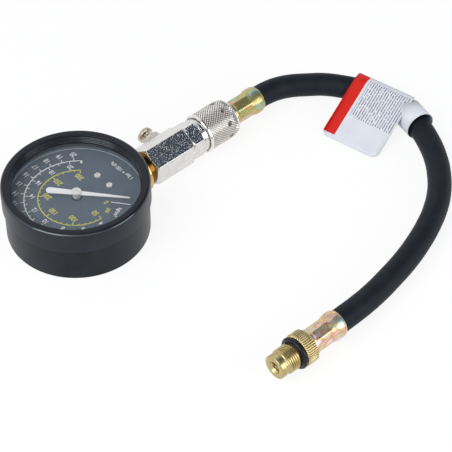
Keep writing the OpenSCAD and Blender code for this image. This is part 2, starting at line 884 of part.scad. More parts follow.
module movement_screws() {
    color("#b9bcc0") {
        for (p = pillar_spots) translate([p[0], p[1], front_top + seat])
            slotted_screw(screw_head_r, screw_head_t, screw_r, plate_t + pillar_screw_grip);
        for (side = [-1, 1]) translate([side * ledge_screw[0], ledge_screw[1], plate_z + plate_t + seat])
            slotted_screw(screw_head_r, screw_head_t, screw_r, plate_t + ledge_screw_grip);
    }
}

module case_screws() {
    color("#b9bcc0") for (side = [-1, 1]) translate([side * case_screw_x, -case_screw_s, 2 * seat])
    difference() {
        union() {
            cylinder(r1 = case_screw_head_r, r2 = screw_r, h = case_screw_head_t);
            cylinder(r = screw_r, h = case_floor + case_screw_grip);
        }
        translate([-case_screw_head_r, -slot_w / 2, -past])
            cube([2 * case_screw_head_r, slot_w, case_slot_depth + past]);
    }
}

module socket() {
    block_l = block_far - block_near;
    collar_end = flange_l + collar_l;
    color("#c9992f") difference() {
        union() {
            translate([-block_w / 2, -block_far, block_low])
                cube([block_w, block_l, block_top - block_low]);
            translate([-block_w / 2 - ledge_side, -block_near - past, block_low])
                cube([block_w + 2 * ledge_side, block_near - ledge_near + past,
                      plate_z - seat - block_low]);
            both_sides() translate([0, 0, block_top - past])
                cylinder(r = post_r, h = dial_under - seat - block_top + past);
            along_stem(block_far - past) cylinder(r = shank_r, h = flange_s - block_far + 2 * past);
            along_stem(flange_s) turned([
                [0, 0], [flange_r - edge, 0], [flange_r, edge], [flange_r, flange_l - broad_edge],
                [flange_r - broad_edge, flange_l], [collar_r, flange_l], [collar_r, collar_end - edge],
                [collar_r - edge, collar_end], [spigot_r, collar_end],
                [spigot_r, collar_end + spigot_l - broad_edge],
                [spigot_r - broad_edge, collar_end + spigot_l], [0, collar_end + spigot_l]
            ]);
        }
        along_stem(tube_r) cylinder(r = passage_r, h = valve_s + spigot_l);
        translate([-block_w / 2 + tube_seat, -tube_r, stem_z]) rotate([0, 90, 0])
            cylinder(r = tube_hole_r, h = block_w / 2 - tube_seat);
        translate([0, 0, stem_z]) rotate(tube_from - tube_slot_turn)
            rotate_extrude(angle = tube_slot_turn + 4 * seat) translate([tube_r, 0])
                oblong(tube_t + 2 * seat, tube_h + 2 * seat);
        both_sides() translate([0, 0, dial_under - dial_screw_grip - hole_spare])
            cylinder(r = screw_r + seat, h = dial_screw_grip + hole_spare + past);
        for (side = [-1, 1]) {
            translate([side * ledge_screw[0], ledge_screw[1], plate_z - ledge_screw_grip - hole_spare])
                cylinder(r = screw_r + seat, h = ledge_screw_grip + hole_spare + past);
            translate([side * case_screw_x, -case_screw_s, 0])
                cylinder(r = screw_r + seat, h = case_floor + case_screw_grip + hole_spare);
        }
    }
}

module valve_body() {
    color("#d9d6cf") difference() {
        along_stem(valve_s + seat) hex_bar(valve_af, valve_l - 2 * seat);
        along_stem(valve_s - past) cylinder(r = spigot_r + seat, h = spigot_l + spigot_room + past);
        along_stem(valve_s) cylinder(r = passage_r, h = valve_l);
        along_stem(coupler_s - spigot_l - spigot_room)
            cylinder(r = spigot_r + seat, h = spigot_l + spigot_room + past);
        along_relief(relief_floor) cylinder(r = relief_pocket_r, h = valve_flat);
        along_relief(0) cylinder(r = relief_port_r, h = valve_flat);
    }
}

module relief_bush() {
    rise = seat + bush_h;
    color("#d9d6cf") difference() {
        along_relief(valve_flat) turned(concat(
            [[0, -bush_screwed], [relief_pocket_r - seat, -bush_screwed],
             [relief_pocket_r - seat, seat], [bush_r, seat]],
            arc(bush_r - bush_dome, rise - bush_dome, bush_dome, 0, 90),
            [[0, rise]]
        ));
        along_relief(bush_in - past)
            cylinder(r = button_stem_r + 2 * running, h = bush_screwed + rise + 2 * past);
        along_relief(valve_flat + bush_h / 2) rotate(vent_angle) rotate([0, 90, 0])
            cylinder(r = vent_r, h = bush_r + past);
    }
}

module relief_button() {
    stem_l = button_x - relief_flange_x;
    color("#d4cfc4") along_relief(relief_flange_x) turned(concat(
        [[0, 0], [relief_flange_r, 0], [relief_flange_r, relief_flange_t], [button_stem_r, relief_flange_t],
         [button_stem_r, stem_l - button_taper], [button_neck_r, stem_l], [button_r - edge, stem_l],
         [button_r, stem_l + edge]],
        arc(button_r - button_edge, stem_l + button_t - button_edge, button_edge, 0, 90, 4),
        [[0, stem_l + button_t]]
    ));
}

module relief_seal() {
    color("#1a1a1a") along_relief(relief_seal_x) difference() {
        cylinder(r = relief_flange_r, h = relief_seal_t);
        translate([0, 0, -past]) cylinder(r = button_stem_r + seat, h = relief_seal_t + 2 * past);
    }
}

module relief_spring() {
    color("#8f959c") along_relief(relief_floor + seat)
        coil(relief_coil_r, fine_wire, relief_flange_x - relief_floor - 2 * seat, relief_turns);
}

module coupler_body() {
    from = neck_s - past;
    barrel_l = barrel_end - plug_s;
    color("#d9d6cf") difference() {
        union() {
            along_stem(coupler_s - spigot_l) cylinder(r = spigot_r, h = spigot_l + past);
            along_stem(coupler_s) hex_bar(coupler_af, coupler_hex_l);
            along_stem(from) turned([
                [0, 0], [neck_r - neck_foot, 0], [neck_r - neck_foot, past + neck_foot_l],
                [neck_r, past + neck_foot_l + edge], [neck_r, shoulder_s - from],
                [shoulder_r, shoulder_s - from], [shoulder_r, barrel_s - from],
                [barrel_r, barrel_s - from], [barrel_r, snap_s - from],
                [snap_groove_r, snap_s - from], [snap_groove_r, snap_s + snap_t - from],
                [barrel_r, snap_s + snap_t - from], [barrel_r, barrel_end - edge - from],
                [barrel_r - edge, barrel_end - from], [0, barrel_end - from]
            ]);
        }
        along_stem(coupler_s - spigot_l - past) cylinder(r = passage_r, h = valve_l + sleeve_l);
        along_stem(plug_s - plug_room) cylinder(r = nose_r + running, h = barrel_l + plug_room + past);
        along_stem(seal_s) rotate_extrude() translate([nose_r, 0])
            square([2 * coupler_seal_r + 3 * running, 4 * coupler_seal_r]);
        for (k = [0 : ball_count - 1]) along_stem(ball_s) rotate([0, 0, 360 * k / ball_count])
            rotate([0, 90, 0]) cylinder(r = ball_r + ball_room, h = barrel_r + past);
    }
}

module coupler_sleeve() {
    l = sleeve_l;
    land_l = snap_s - 2 * seat - land_s;
    color("#cfccc4") difference() {
        along_stem(sleeve_s) turned([
            [sleeve_bore_r, 0], [sleeve_r - edge, 0], [sleeve_r, edge], [sleeve_r, l - sleeve_nose_l],
            [sleeve_r - sleeve_nose_bevel, l],
            [mouth_r, l], [mouth_r, land_s - sleeve_s + land_l], [land_r, land_s - sleeve_s + land_l],
            [land_r, land_s - sleeve_s], [sleeve_bore_r, land_s - sleeve_s]
        ]);
        for (k = [0 : dimple_count - 1])
            along_stem(ball_s) rotate([0, 0, 360 * k / dimple_count + dimple_turn]) rotate([0, 90, 0])
                translate([0, 0, sleeve_r - dimple_depth])
                    cylinder(r1 = dimple_r / 3, r2 = dimple_r, h = dimple_depth + 4 * seat);
    }
}

module coupler_balls() {
    color("#b9bcc0") for (k = [0 : ball_count - 1]) along_stem(ball_s) rotate([0, 0, 360 * k / ball_count])
        translate([ball_at, 0, 0]) sphere(ball_r);
}

module sleeve_spring() {
    color("#8f959c") along_stem(barrel_s + seat)
        coil((barrel_r + sleeve_bore_r) / 2, sleeve_wire, land_s - barrel_s - 2 * seat, sleeve_turns);
}

module snap_ring() {
    color("#8f959c") along_stem(snap_s + seat) difference() {
        cylinder(r = snap_r, h = snap_t - 2 * seat);
        translate([0, 0, -past]) cylinder(r = snap_groove_r + seat, h = snap_t + 2 * past);
        translate([0, -snap_opening / 2, -past]) cube([snap_r + past, snap_opening, snap_t + 2 * past]);
    }
}

module coupler_seal() {
    color("#1a1a1a") along_stem(seal_s + 2 * coupler_seal_r) rotate_extrude()
        translate([nose_r + 2 * running + coupler_seal_r, 0]) circle(coupler_seal_r);
}

// Outline of a barbed tail of length l that grips the inside of the hose
function barb(from, l, foot = 0.6, crest = 0.9) = [
    for (k = [0 : barb_count - 1]) let (at = from + l * k / barb_count)
        each [[barb_r - barb_step, at + foot], [barb_r, at + crest],
              [barb_r - barb_step, at + l / barb_count]]
];

// Crimped ferrule, with its closed end at z = 0 and flats pressed round its waist
module ferrule() {
    l = ferrule_l;
    lip_l = ferrule_lip_l;
    lip_r = ferrule_r + ferrule_lip;
    lip_edge = 0.7;
    lip_taper = 0.6;
    flare_foot = 2.9;
    flare_edge_l = 1.8;
    funnel_l = 5.2;
    waist_l = l - ferrule_flare_l - lip_l;
    difference() {
        union() {
            turned([[0, 0], [ferrule_r - lip_edge, 0], [lip_r, lip_edge], [lip_r, lip_l - lip_taper],
                    [ferrule_r, lip_l], [0, lip_l]]);
            translate([0, 0, lip_l]) intersection() {
                cylinder(r = ferrule_r, h = waist_l);
                linear_extrude(waist_l) circle(crimp_r / cos(180 / crimp_count), $fn = crimp_count);
            }
            translate([0, 0, lip_l + waist_l]) turned([
                [0, 0], [ferrule_r, 0], [flare_r, flare_foot], [flare_r, ferrule_flare_l - flare_edge_l],
                [flare_r - edge, ferrule_flare_l], [0, ferrule_flare_l]
            ]);
        }
        translate([0, 0, -past]) cylinder(r = grip_r + seat, h = l);
        turned([[0, grip_l], [ferrule_bore_r, grip_l], [ferrule_bore_r, l - ferrule_flare_l],
                [hose_r + hose_gap, l - funnel_l], [hose_r + hose_gap, l + past], [0, l + past]]);
    }
}

module hose_plug() {
    nose_l = ferrule_s - hose_gap - plug_s;
    grip_end = nose_l + grip_l + 2 * hose_gap;
    tail = ferrule_l - grip_l - tail_short;
    groove = ball_s - plug_s;
    color("#cbbf8e") along_stem(plug_s) difference() {
        turned(concat(
            [[0, 0], [nose_r - broad_edge, 0], [nose_r, plug_taper],
             [nose_r, groove - groove_half - groove_taper],
             [groove_r, groove - groove_half], [groove_r, groove + groove_half],
             [nose_r, groove + groove_half + groove_taper], [nose_r, nose_l],
             [grip_r, nose_l], [grip_r, grip_end]],
            barb(grip_end, tail),
            [[0, grip_end + tail]]
        ));
        translate([0, 0, -past]) cylinder(r = passage_r, h = nose_l + ferrule_l + 2 * past);
    }
}

module near_ferrule() {
    color("#c9bd7d") along_stem(ferrule_s) ferrule();
}

module hose() {
    last = len(route) - 1;
    n = hose_sides;
    per = 2 * n;
    points = [for (i = [0 : last]) each concat(ring(i, hose_radius(i)), ring(i, hose_bore_r))];
    skin = [for (i = [0 : last - 1], k = [0 : n - 1]) let (j = (k + 1) % n)
        [i * per + k, i * per + j, (i + 1) * per + j, (i + 1) * per + k]];
    bore = [for (i = [0 : last - 1], k = [0 : n - 1]) let (j = (k + 1) % n)
        [i * per + n + k, (i + 1) * per + n + k, (i + 1) * per + n + j, i * per + n + j]];
    ends = [for (i = [0, last], k = [0 : n - 1]) let (j = (k + 1) % n)
        i == 0 ? [k, n + k, n + j, j] : [i * per + k, i * per + j, i * per + n + j, i * per + n + k]];
    color("#26292e") polyhedron(points, concat(skin, bore, ends), convexity = 6);
}

// What is cut off to round one corner, with the rounding centred at the origin.
// The rounding is a little full, so that it runs out through both edges.
module corner_waste(r) {
    full = 1.02;
    difference() {
        square(2 * r);
        circle(full * r);
    }
}

module hose_tag() {
    lean = 90 - tag_slope;
    drop = (tag_spot[2] + tag_r * sin(lean) - tag_low) / sin(tag_slope);
    fall = drop * [cos(tag_slope), -sin(tag_slope)];
    color("#f1f1f3") {
        translate(tag_spot) rotate(tag_turn) rotate([90, 0, 0]) difference() {
            translate([0, 0, -tag_w / 2]) linear_extrude(tag_w) polygon(concat(
                arc(0, 0, tag_r, tag_wrap, lean),
                [polar(tag_r, lean) + fall, polar(tag_r + tag_t, lean) + fall],
                arc(0, 0, tag_r + tag_t, lean, tag_wrap)
            ));
            translate(polar(tag_r, lean)) rotate(-tag_slope) rotate([-90, 0, 0]) for (side = [0, 1])
                mirror([0, side, 0]) translate([drop - panel_corner, tag_w / 2 - panel_corner, -tag_t])
                    linear_extrude(3 * tag_t) corner_waste(panel_corner);
        }
        translate(strap_spot) rotate(strap_turn) rotate([0, 90, 0]) linear_extrude(strap_w, center = true)
            difference() {
                polygon(arc(0, 0, strap_r + tag_t, 0, strap_reach, strap_steps));
                polygon(arc(0, 0, strap_r, 0, strap_reach, strap_steps));
            }
    }
}

module far_ferrule() {
    color("#c9bd7d") along_end(far_ferrule_s) ferrule();
}

module end_fitting() {
    grip_end = far_ferrule_s + grip_l + hose_gap;
    tail = ferrule_l - grip_l - tail_short;
    groove = seal_ring_r - 2 * seal_cord_r - seat;
    cut_end = pilot_l - thread_lead;
    cut_s = cut_end - relief_cut_l;
    color("#c9a95a") along_end(0) difference() {
        turned(concat(
            [[0, 0], [pilot_r - edge, 0], [pilot_r, edge], [pilot_r, cut_s - edge],
             [relief_cut_r, cut_s], [relief_cut_r, cut_end], [thread_r - thread_lead, cut_end],
             [thread_r, pilot_l], [thread_r, pilot_l + thread_l], [groove, pilot_l + thread_l],
             [groove, knurl_s], [knurl_r - knurl_edge, knurl_s], [knurl_r, knurl_s + knurl_edge],
             [knurl_r, far_grip_s - knurl_edge], [knurl_r - knurl_edge, far_grip_s],
             [grip_r, far_grip_s], [grip_r, grip_end]],
            barb(grip_end, tail),
            [[0, grip_end + tail]]
        ));
        translate([0, 0, -past]) cylinder(r = core_bore_r, h = core_bore_l + past);
        cylinder(r = passage_r, h = far_grip_s + ferrule_l);
    }
}

module end_o_ring() {
    color("#1b1b1d") along_end(ring_s) rotate_extrude()
        translate([seal_ring_r - seal_cord_r, 0]) circle(seal_cord_r);
}

module valve_core_body() {
    color("#c9a95a") along_end(core_s) difference() {
        cylinder(r = core_bore_r - seat, h = core_l);
        translate([0, 0, -past]) cylinder(r = core_pin_r + core_pin_room, h = core_l + 2 * past);
        for (side = [0, 1]) mirror([side, 0, 0]) translate([core_flat_x, -core_bore_r, -past])
            cube([core_bore_r, 2 * core_bore_r, core_flat_l + past]);
    }
}

module valve_core_pin() {
    start = core_s - core_pin_out;
    end = core_bore_l - core_travel - 4 * seat;
    color("#c9a95a") along_end(0) {
        translate([0, 0, start]) cylinder(r = core_pin_r, h = end - start);
        translate([0, 0, core_head_s]) cylinder(r = core_head_r, h = core_head_t);
    }
}

module valve_core_seal() {
    color("#1a1a1a") along_end(core_s + core_l + seat) difference() {
        cylinder(r = core_head_r, h = core_seal_t);
        translate([0, 0, -past]) cylinder(r = core_pin_r + seat, h = core_seal_t + 2 * past);
    }
}

module valve_core_spring() {
    color("#8f959c") along_end(core_spring_s)
        coil(core_coil_r, fine_wire, core_bore_l - seat - core_spring_s, core_turns);
}

case();
bezel_ring();
lens();
lens_gasket();
dial_plate();
dial_screws();
pointer();
pointer_hub();
pinion_arbor();
sector_gear();
sector_arbor();
bourdon_tube();
tube_tip();
tip_link();
link_pins();
hairspring();
movement_back_plate();
movement_front_plate();
movement_pillars();
movement_screws();
case_screws();
socket();
valve_body();
relief_bush();
relief_button();
relief_seal();
relief_spring();
coupler_body();
coupler_sleeve();
coupler_balls();
sleeve_spring();
snap_ring();
coupler_seal();
hose_plug();
near_ferrule();
hose();
hose_tag();
far_ferrule();
end_fitting();
end_o_ring();
valve_core_body();
valve_core_pin();
valve_core_seal();
valve_core_spring();
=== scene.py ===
# %% [markdown]
# # A compression tester gauge in Blender
# The solids come from the CAD frame, and they already have the right size and place. This lesson
# gives every surface its finish, and rebuilds the pieces whose charm lies in fine detail: the hose,
# the bezel, the knurled sleeve, the crimped ferrules, the threaded end, the film tag and the printed
# dial. Springs and a curled tube are rebuilt too, because they change their shape as the tester works.

# %% Load the frame
import math

import bmesh
import bpy
from mathutils import Matrix, Vector


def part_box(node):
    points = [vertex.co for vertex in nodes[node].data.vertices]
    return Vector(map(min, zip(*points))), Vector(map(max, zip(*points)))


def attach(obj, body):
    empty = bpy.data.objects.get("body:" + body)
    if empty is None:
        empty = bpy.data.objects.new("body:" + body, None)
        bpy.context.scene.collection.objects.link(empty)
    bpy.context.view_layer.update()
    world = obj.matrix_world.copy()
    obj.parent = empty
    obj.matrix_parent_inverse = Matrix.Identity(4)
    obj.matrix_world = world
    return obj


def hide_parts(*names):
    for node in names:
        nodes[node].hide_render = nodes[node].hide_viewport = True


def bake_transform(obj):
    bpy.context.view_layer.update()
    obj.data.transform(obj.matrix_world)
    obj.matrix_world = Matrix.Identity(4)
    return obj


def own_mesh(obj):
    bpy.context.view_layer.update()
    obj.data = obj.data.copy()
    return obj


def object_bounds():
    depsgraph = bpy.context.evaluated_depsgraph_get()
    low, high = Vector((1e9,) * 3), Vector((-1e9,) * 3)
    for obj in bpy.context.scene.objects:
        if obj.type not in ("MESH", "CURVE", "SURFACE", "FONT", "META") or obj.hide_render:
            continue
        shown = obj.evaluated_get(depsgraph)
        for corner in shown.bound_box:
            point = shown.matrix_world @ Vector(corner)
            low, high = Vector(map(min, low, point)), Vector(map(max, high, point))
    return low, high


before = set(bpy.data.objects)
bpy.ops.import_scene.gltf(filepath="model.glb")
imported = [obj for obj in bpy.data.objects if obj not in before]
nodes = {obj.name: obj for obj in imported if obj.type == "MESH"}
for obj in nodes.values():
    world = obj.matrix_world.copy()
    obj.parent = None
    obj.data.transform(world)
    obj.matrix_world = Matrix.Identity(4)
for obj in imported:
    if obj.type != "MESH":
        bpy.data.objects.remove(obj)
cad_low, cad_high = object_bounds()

MM = 0.001
TURN = 2 * math.pi
IN_PLACE = Matrix.Identity(4)


def placed(name, data):
    """A new object in the scene, at the origin."""
    thing = bpy.data.objects.new(name, data)
    bpy.context.collection.objects.link(thing)
    return thing


# %% [markdown]
# ## The camera
# The photo was taken from about a metre away with a long lens, looking down at the gauge. The place
# below was found by lining up round edges of the case, the stem and the end fitting with the photo.

# %% Camera
PHOTO_PX = 452
PHOTO_FOCAL_PX = 1900
SENSOR_MM = 36
camera_place = Vector((-565.5, 412.9, 723.5)) * MM
camera_target = Vector((-52.57, -57.19, 0)) * MM

camera_data = bpy.data.cameras.new("photo_camera")
camera_data.sensor_width = SENSOR_MM
camera_data.lens = SENSOR_MM * PHOTO_FOCAL_PX / PHOTO_PX
camera = placed("photo_camera", camera_data)
camera.location = camera_place
camera.rotation_euler = (camera_target - camera_place).to_track_quat("-Z", "Y").to_euler()
bpy.context.scene.camera = camera
print("camera lens", round(camera_data.lens, 1), "mm")

# %% [markdown]
# ## The hose
# A rubber hose is one smooth round tube, so a curve with a bevel is the natural way to make it. Its
# line repeats the route of the CAD solid. The bevel is one metre deep and each point carries the real
# radius, so that the hose can be squeezed a little inside each ferrule.

# %% Hose
HOSE_R = 0.0065
CRIMPED_SHARE = 0.9
CRIMPED_POINTS = 3
ROUTE_MM = [
    (0, -112, 12), (0, -117, 12), (0, -122, 12), (0, -128, 12), (-0.5, -136, 12), (-2, -143, 11.8),
    (-5, -150.5, 11.2), (-9.5, -158, 10.4), (-15, -166, 9.5), (-22.5, -173, 8.6), (-31.5, -179, 7.9),
    (-42, -182.5, 7.6), (-53, -184.5, 7.6), (-64, -184, 7.6), (-75, -181.5, 7.5), (-86, -177, 7.2),
    (-96.5, -171, 7), (-106.5, -163, 7), (-115.5, -153.5, 7), (-123, -142.5, 7), (-129, -130.5, 7),
    (-134, -117.5, 7), (-138, -104, 7), (-141, -90, 7.2), (-143.5, -76, 7.7), (-145, -63, 8.5),
    (-145.5, -52, 9), (-145.5, -45, 9), (-145.5, -39, 9), (-145.5, -34, 9), (-145.5, -30, 9),
]
ROUTE = [tuple(c * MM for c in point) for point in ROUTE_MM]
hose_line = bpy.data.curves.new("hose_line", "CURVE")
hose_line.dimensions = "3D"
hose_line.bevel_depth = 1.0
hose_line.bevel_resolution = 10
hose_line.resolution_u = 8
hose_line.use_fill_caps = True
spline = hose_line.splines.new("BEZIER")
spline.bezier_points.add(len(ROUTE) - 1)
for number, (point, place) in enumerate(zip(spline.bezier_points, ROUTE)):
    point.co = place
    point.handle_left_type = point.handle_right_type = "AUTO"
    inside = min(number, len(ROUTE) - 1 - number) < CRIMPED_POINTS
    point.radius = HOSE_R * (CRIMPED_SHARE if inside else 1)
hose = placed("rubber_hose", hose_line)
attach(hose, "hose")
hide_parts("hose")

# %% [markdown]
# ## Small tools for node trees
# Materials and the world are trees of nodes. These helpers start a material, give sockets a link or a plain
# value, work out a sum and bring a value from one range to another. A socket knows the tree that it is in, so a
# new node goes into the tree of the value that it takes up.

# %% Node tools
def new_finish(name):
    """A material with its node tree and its Principled shader."""
    material = bpy.data.materials.new(name)
    material.use_nodes = True
    tree = material.node_tree
    return material, tree, tree.nodes["Principled BSDF"]


def feed(node, terms):
    """Gives sockets of a node, by name or number, a link or a plain value."""
    for key, term in terms.items():
        if isinstance(term, bpy.types.NodeSocket):
            node.id_data.links.new(term, node.inputs[key])
        else:
            node.inputs[key].default_value = term


def worked_out(operation, *terms):
    """The result of a sum of a socket with other sockets or plain numbers."""
    node = terms[0].id_data.nodes.new("ShaderNodeMath")
    node.operation = operation
    feed(node, dict(enumerate(terms)))
    return node.outputs[0]


def ranged(value, low, high, start=0.0, end=1.0, soft=False):
    """Low where the value is at the start and high where it is at the end, with a straight or soft step."""
    span = value.id_data.nodes.new("ShaderNodeMapRange")
    if soft:
        span.interpolation_type = "SMOOTHSTEP"
    feed(span, {"Value": value, "From Min": start, "From Max": end, "To Min": low, "To Max": high})
    return span.outputs["Result"]


print("node tools ready")

# %% [markdown]
# ## The floor and the studio
# The photo has a white ground with hardly any shadow. To the camera, and in reflections, the floor glows
# almost white by itself and only a small share of it is paint that takes the shadow. As a source of light
# it stays a plain pale floor, so that it doesn't flood the part.

# %% Floor
FLOOR_SIZE = 6.0
FLOOR_GAP = 0.0001
FLOOR_PAINT, FLOOR_PAINT_SEEN = 0.82, 0.14
FLOOR_GLOW_SEEN = 0.88
floor_bm = bmesh.new()
bmesh.ops.create_grid(floor_bm, x_segments=1, y_segments=1, size=FLOOR_SIZE / 2)
floor_mesh = bpy.data.meshes.new("floor")
floor_bm.to_mesh(floor_mesh)
floor_bm.free()
floor_mesh.transform(Matrix.Translation((0, 0, cad_low.z - FLOOR_GAP)))
floor = placed("floor", floor_mesh)


def looked_at(tree):
    """1 for what the camera sees, straight, in a reflection or through glass, and 0 for light on the part."""
    path = tree.nodes.new("ShaderNodeLightPath")
    total = path.outputs["Is Camera Ray"]
    for kind in ("Is Glossy Ray", "Is Transmission Ray"):
        total = worked_out("MAXIMUM", total, path.outputs[kind])
    return total


floor_paint, floor_tree, floor_shader = new_finish("floor_paint")
floor_seen = looked_at(floor_tree)
feed(floor_shader, {"Base Color": ranged(floor_seen, FLOOR_PAINT, FLOOR_PAINT_SEEN),
                    "Roughness": 0.95, "Specular IOR Level": 0.0,
                    "Emission Color": (1.0, 1.0, 1.0, 1.0),
                    "Emission Strength": ranged(floor_seen, 0.0, FLOOR_GLOW_SEEN)})
floor_mesh.materials.append(floor_paint)
print("floor at", round(cad_low.z - FLOOR_GAP, 5), "m")

# %% [markdown]
# The metal in the photo shows where its studio was bright and dark: the flats of the hexagon that look
# up and away are a dark slate blue, while those that see the ground are almost white. So the world is a pale
# room with a dark ceiling behind the gauge, and two large lamps stand on the camera's side.

# %% World
DARK_WAY = Vector((-0.28, -0.50, 0.82)).normalized()
DARK_FROM, DARK_TO = 0.62, 0.90
ROOM_COLOUR = (0.97, 0.985, 1.0, 1.0)
CEILING_COLOUR = (0.055, 0.072, 0.105, 1.0)
ROOM_LIGHT, ROOM_SEEN = 0.62, 1.0
world = bpy.data.worlds.new("studio")
world.use_nodes = True
bpy.context.scene.world = world
sky = world.node_tree
backdrop = sky.nodes["Background"]
sky_place = sky.nodes.new("ShaderNodeTexCoord")
facing = sky.nodes.new("ShaderNodeVectorMath")
facing.operation = "DOT_PRODUCT"
feed(facing, {0: sky_place.outputs["Generated"], 1: DARK_WAY})
ceiling = ranged(facing.outputs["Value"], 0.0, 1.0, DARK_FROM, DARK_TO, soft=True)
room = sky.nodes.new("ShaderNodeMix")
room.data_type = "RGBA"
feed(room, {"Factor": ceiling, "A": ROOM_COLOUR, "B": CEILING_COLOUR})
feed(backdrop, {"Color": room.outputs["Result"], "Strength": ranged(looked_at(sky), ROOM_LIGHT, ROOM_SEEN)})
bpy.context.scene.view_settings.view_transform = "Standard"
print("dark ceiling along", [round(c, 2) for c in DARK_WAY])

# %% Lamps
def soft_lamp(name, way, distance, size, power):
    """A square lamp that shines on the middle of the part from one direction."""
    data = bpy.data.lights.new(name, "AREA")
    data.size = size
    data.energy = power
    lamp = placed(name, data)
    aim = (cad_low + cad_high) / 2
    lamp.location = aim + Vector(way).normalized() * distance
    lamp.rotation_euler = (aim - lamp.location).to_track_quat("-Z", "Y").to_euler()


soft_lamp("key_lamp", way=(-0.04, 0.85, 0.9), distance=1.3, size=0.8, power=8.5)
soft_lamp("fill_lamp", way=(-0.85, -0.4, 0.42), distance=1.3, size=0.8, power=6.0)

# %% [markdown]
# ## Small tools for finishes
# Each finish is a Principled shader whose colour, roughness and relief come from noise in the piece's
# own coordinates. These few helpers keep the recipes short: one places a pattern, and the others turn
# noise into a colour, a number or a bump.

# %% Finish tools
NOISE_LOW, NOISE_HIGH = 0.3, 0.7
GLOSS_DRIFT = 0.05


def pattern_place(tree, stretch=(1, 1, 1)):
    """The piece's own coordinates in metres, stretched along its axes."""
    coords = tree.nodes.new("ShaderNodeTexCoord")
    mapping = tree.nodes.new("ShaderNodeMapping")
    feed(mapping, {"Vector": coords.outputs["Object"], "Scale": stretch})
    return mapping.outputs["Vector"]


def speckle(place, grain, detail=3.0):
    """Noise with spots about grain metres across."""
    noise = place.id_data.nodes.new("ShaderNodeTexNoise")
    feed(noise, {"Vector": place, "Scale": 1 / grain, "Detail": detail})
    return noise.outputs["Fac"]


def tinted(value, stops):
    """A colour picked along a ramp of (position, colour) stops."""
    ramp = value.id_data.nodes.new("ShaderNodeValToRGB")
    marks = ramp.color_ramp.elements
    while len(marks) < len(stops):
        marks.new(0.5)
    for mark, (position, colour) in zip(marks, stops):
        mark.position = position
        mark.color = (*colour, 1.0)
    feed(ramp, {"Fac": value})
    return ramp.outputs["Color"]


def spread(value, low, high):
    """Noise spread over a range of numbers."""
    return ranged(value, low, high, NOISE_LOW, NOISE_HIGH)


def clouded(noise, dark, light):
    """A colour that drifts between dark and light with the noise."""
    return tinted(noise, [(NOISE_LOW, dark), (NOISE_HIGH, light)])


def over(mask, below, colour):
    """A colour laid over another where the mask is 1."""
    mix = mask.id_data.nodes.new("ShaderNodeMix")
    mix.data_type = "RGBA"
    feed(mix, {"Factor": mask, "A": below, "B": (*colour, 1.0)})
    return mix.outputs["Result"]


def relief(shader, height, depth, strength):
    """Puts a bump of that depth in metres on the shader, and hands its node back."""
    bump = shader.id_data.nodes.new("ShaderNodeBump")
    feed(bump, {"Height": height, "Distance": depth, "Strength": strength})
    feed(shader, {"Normal": bump.outputs["Normal"]})
    return bump


def plain_finish(name, dark, light, gloss, grain, metal=0.0, shine=0.5, tint=(1, 1, 1), peel=None):
    """Paint, rubber or metal: a clouded colour, uneven gloss with its own tint and a fine skin."""
    material, tree, shader = new_finish(name)
    place = pattern_place(tree)
    cloud = speckle(place, grain)
    feed(shader, {"Base Color": clouded(cloud, dark, light),
                  "Roughness": spread(cloud, gloss - GLOSS_DRIFT, gloss + GLOSS_DRIFT),
                  "Metallic": metal, "Specular IOR Level": shine, "Specular Tint": (*tint, 1.0)})
    if peel:
        size, depth, strength = peel
        relief(shader, speckle(place, size, detail=2.0), depth, strength)
    return material


def dress(material, *names):
    """Gives CAD nodes a finish."""
    for name in names:
        nodes[name].data.materials.clear()
        nodes[name].data.materials.append(material)


print("finish tools ready")

# %% [markdown]
# ## Paint, rubber and plain metal
# The case and the bezel are sprayed satin black with a hint of blue, and the rim is glossier than the rest.
# Sprayed paint has a faint orange peel, and rubber a duller skin. The lens sits on a slate-grey gasket. The
# movement is stamped brass with nickel-plated plates, its screws are turned steel, and the screws and the hub
# that show on the dial are bright zinc.

# %% Plain finishes
BLUISH = (0.80, 0.89, 1.0)
bezel_paint = plain_finish(
    "bezel_paint", (0.012, 0.0125, 0.017), (0.016, 0.017, 0.023), 0.16, 0.02,
    shine=0.24, tint=BLUISH, peel=(0.0008, 0.00001, 0.1))
skirt_paint = plain_finish(
    "skirt_paint", (0.009, 0.010, 0.015), (0.015, 0.017, 0.025), 0.36, 0.014,
    shine=0.32, tint=BLUISH, peel=(0.0008, 0.00001, 0.2))
ribbed_paint = plain_finish(
    "ribbed_paint", (0.010, 0.011, 0.015), (0.018, 0.020, 0.027), 0.22, 0.006,
    shine=0.45, tint=BLUISH)
edge_paint = plain_finish(
    "edge_paint", (0.010, 0.011, 0.015), (0.018, 0.020, 0.027), 0.10, 0.006,
    shine=0.9, tint=BLUISH)
# Partly painted reflection: the case's large dark and light clouds are partly uneven paint and partly soft dark
# reflections painted in.
case_paint_and_reflection = plain_finish(
    "case_paint_and_reflection", (0.002, 0.0023, 0.0035), (0.010, 0.012, 0.018), 0.38, 0.013,
    shine=0.26, tint=BLUISH, peel=(0.0007, 0.00001, 0.3))
# Painted reflection: the dial's slate is partly its paint and partly the lens's sheen, painted in as a lighter,
# bluer tone.
dial_paint_and_lens_sheen = plain_finish(
    "dial_paint_and_lens_sheen", (0.088, 0.117, 0.157), (0.114, 0.150, 0.199), 0.5, 0.018,
    shine=0.3, peel=(0.0004, 0.000005, 0.2))
white_paint = plain_finish(
    "white_paint", (0.95, 0.95, 0.96), (0.99, 0.99, 0.99), 0.45, 0.004,
    peel=(0.0004, 0.000004, 0.1))
yellow_ink = plain_finish("yellow_ink", (0.74, 0.72, 0.06), (0.84, 0.82, 0.12), 0.5, 0.003)
steel = plain_finish(
    "turned_steel", (0.70, 0.70, 0.69), (0.82, 0.82, 0.80), 0.30, 0.002, metal=1.0,
    peel=(0.0006, 0.000004, 0.15))
movement_brass = plain_finish(
    "movement_brass", (0.62, 0.40, 0.12), (0.78, 0.55, 0.22), 0.30, 0.004,
    metal=1.0, peel=(0.0003, 0.000005, 0.3))
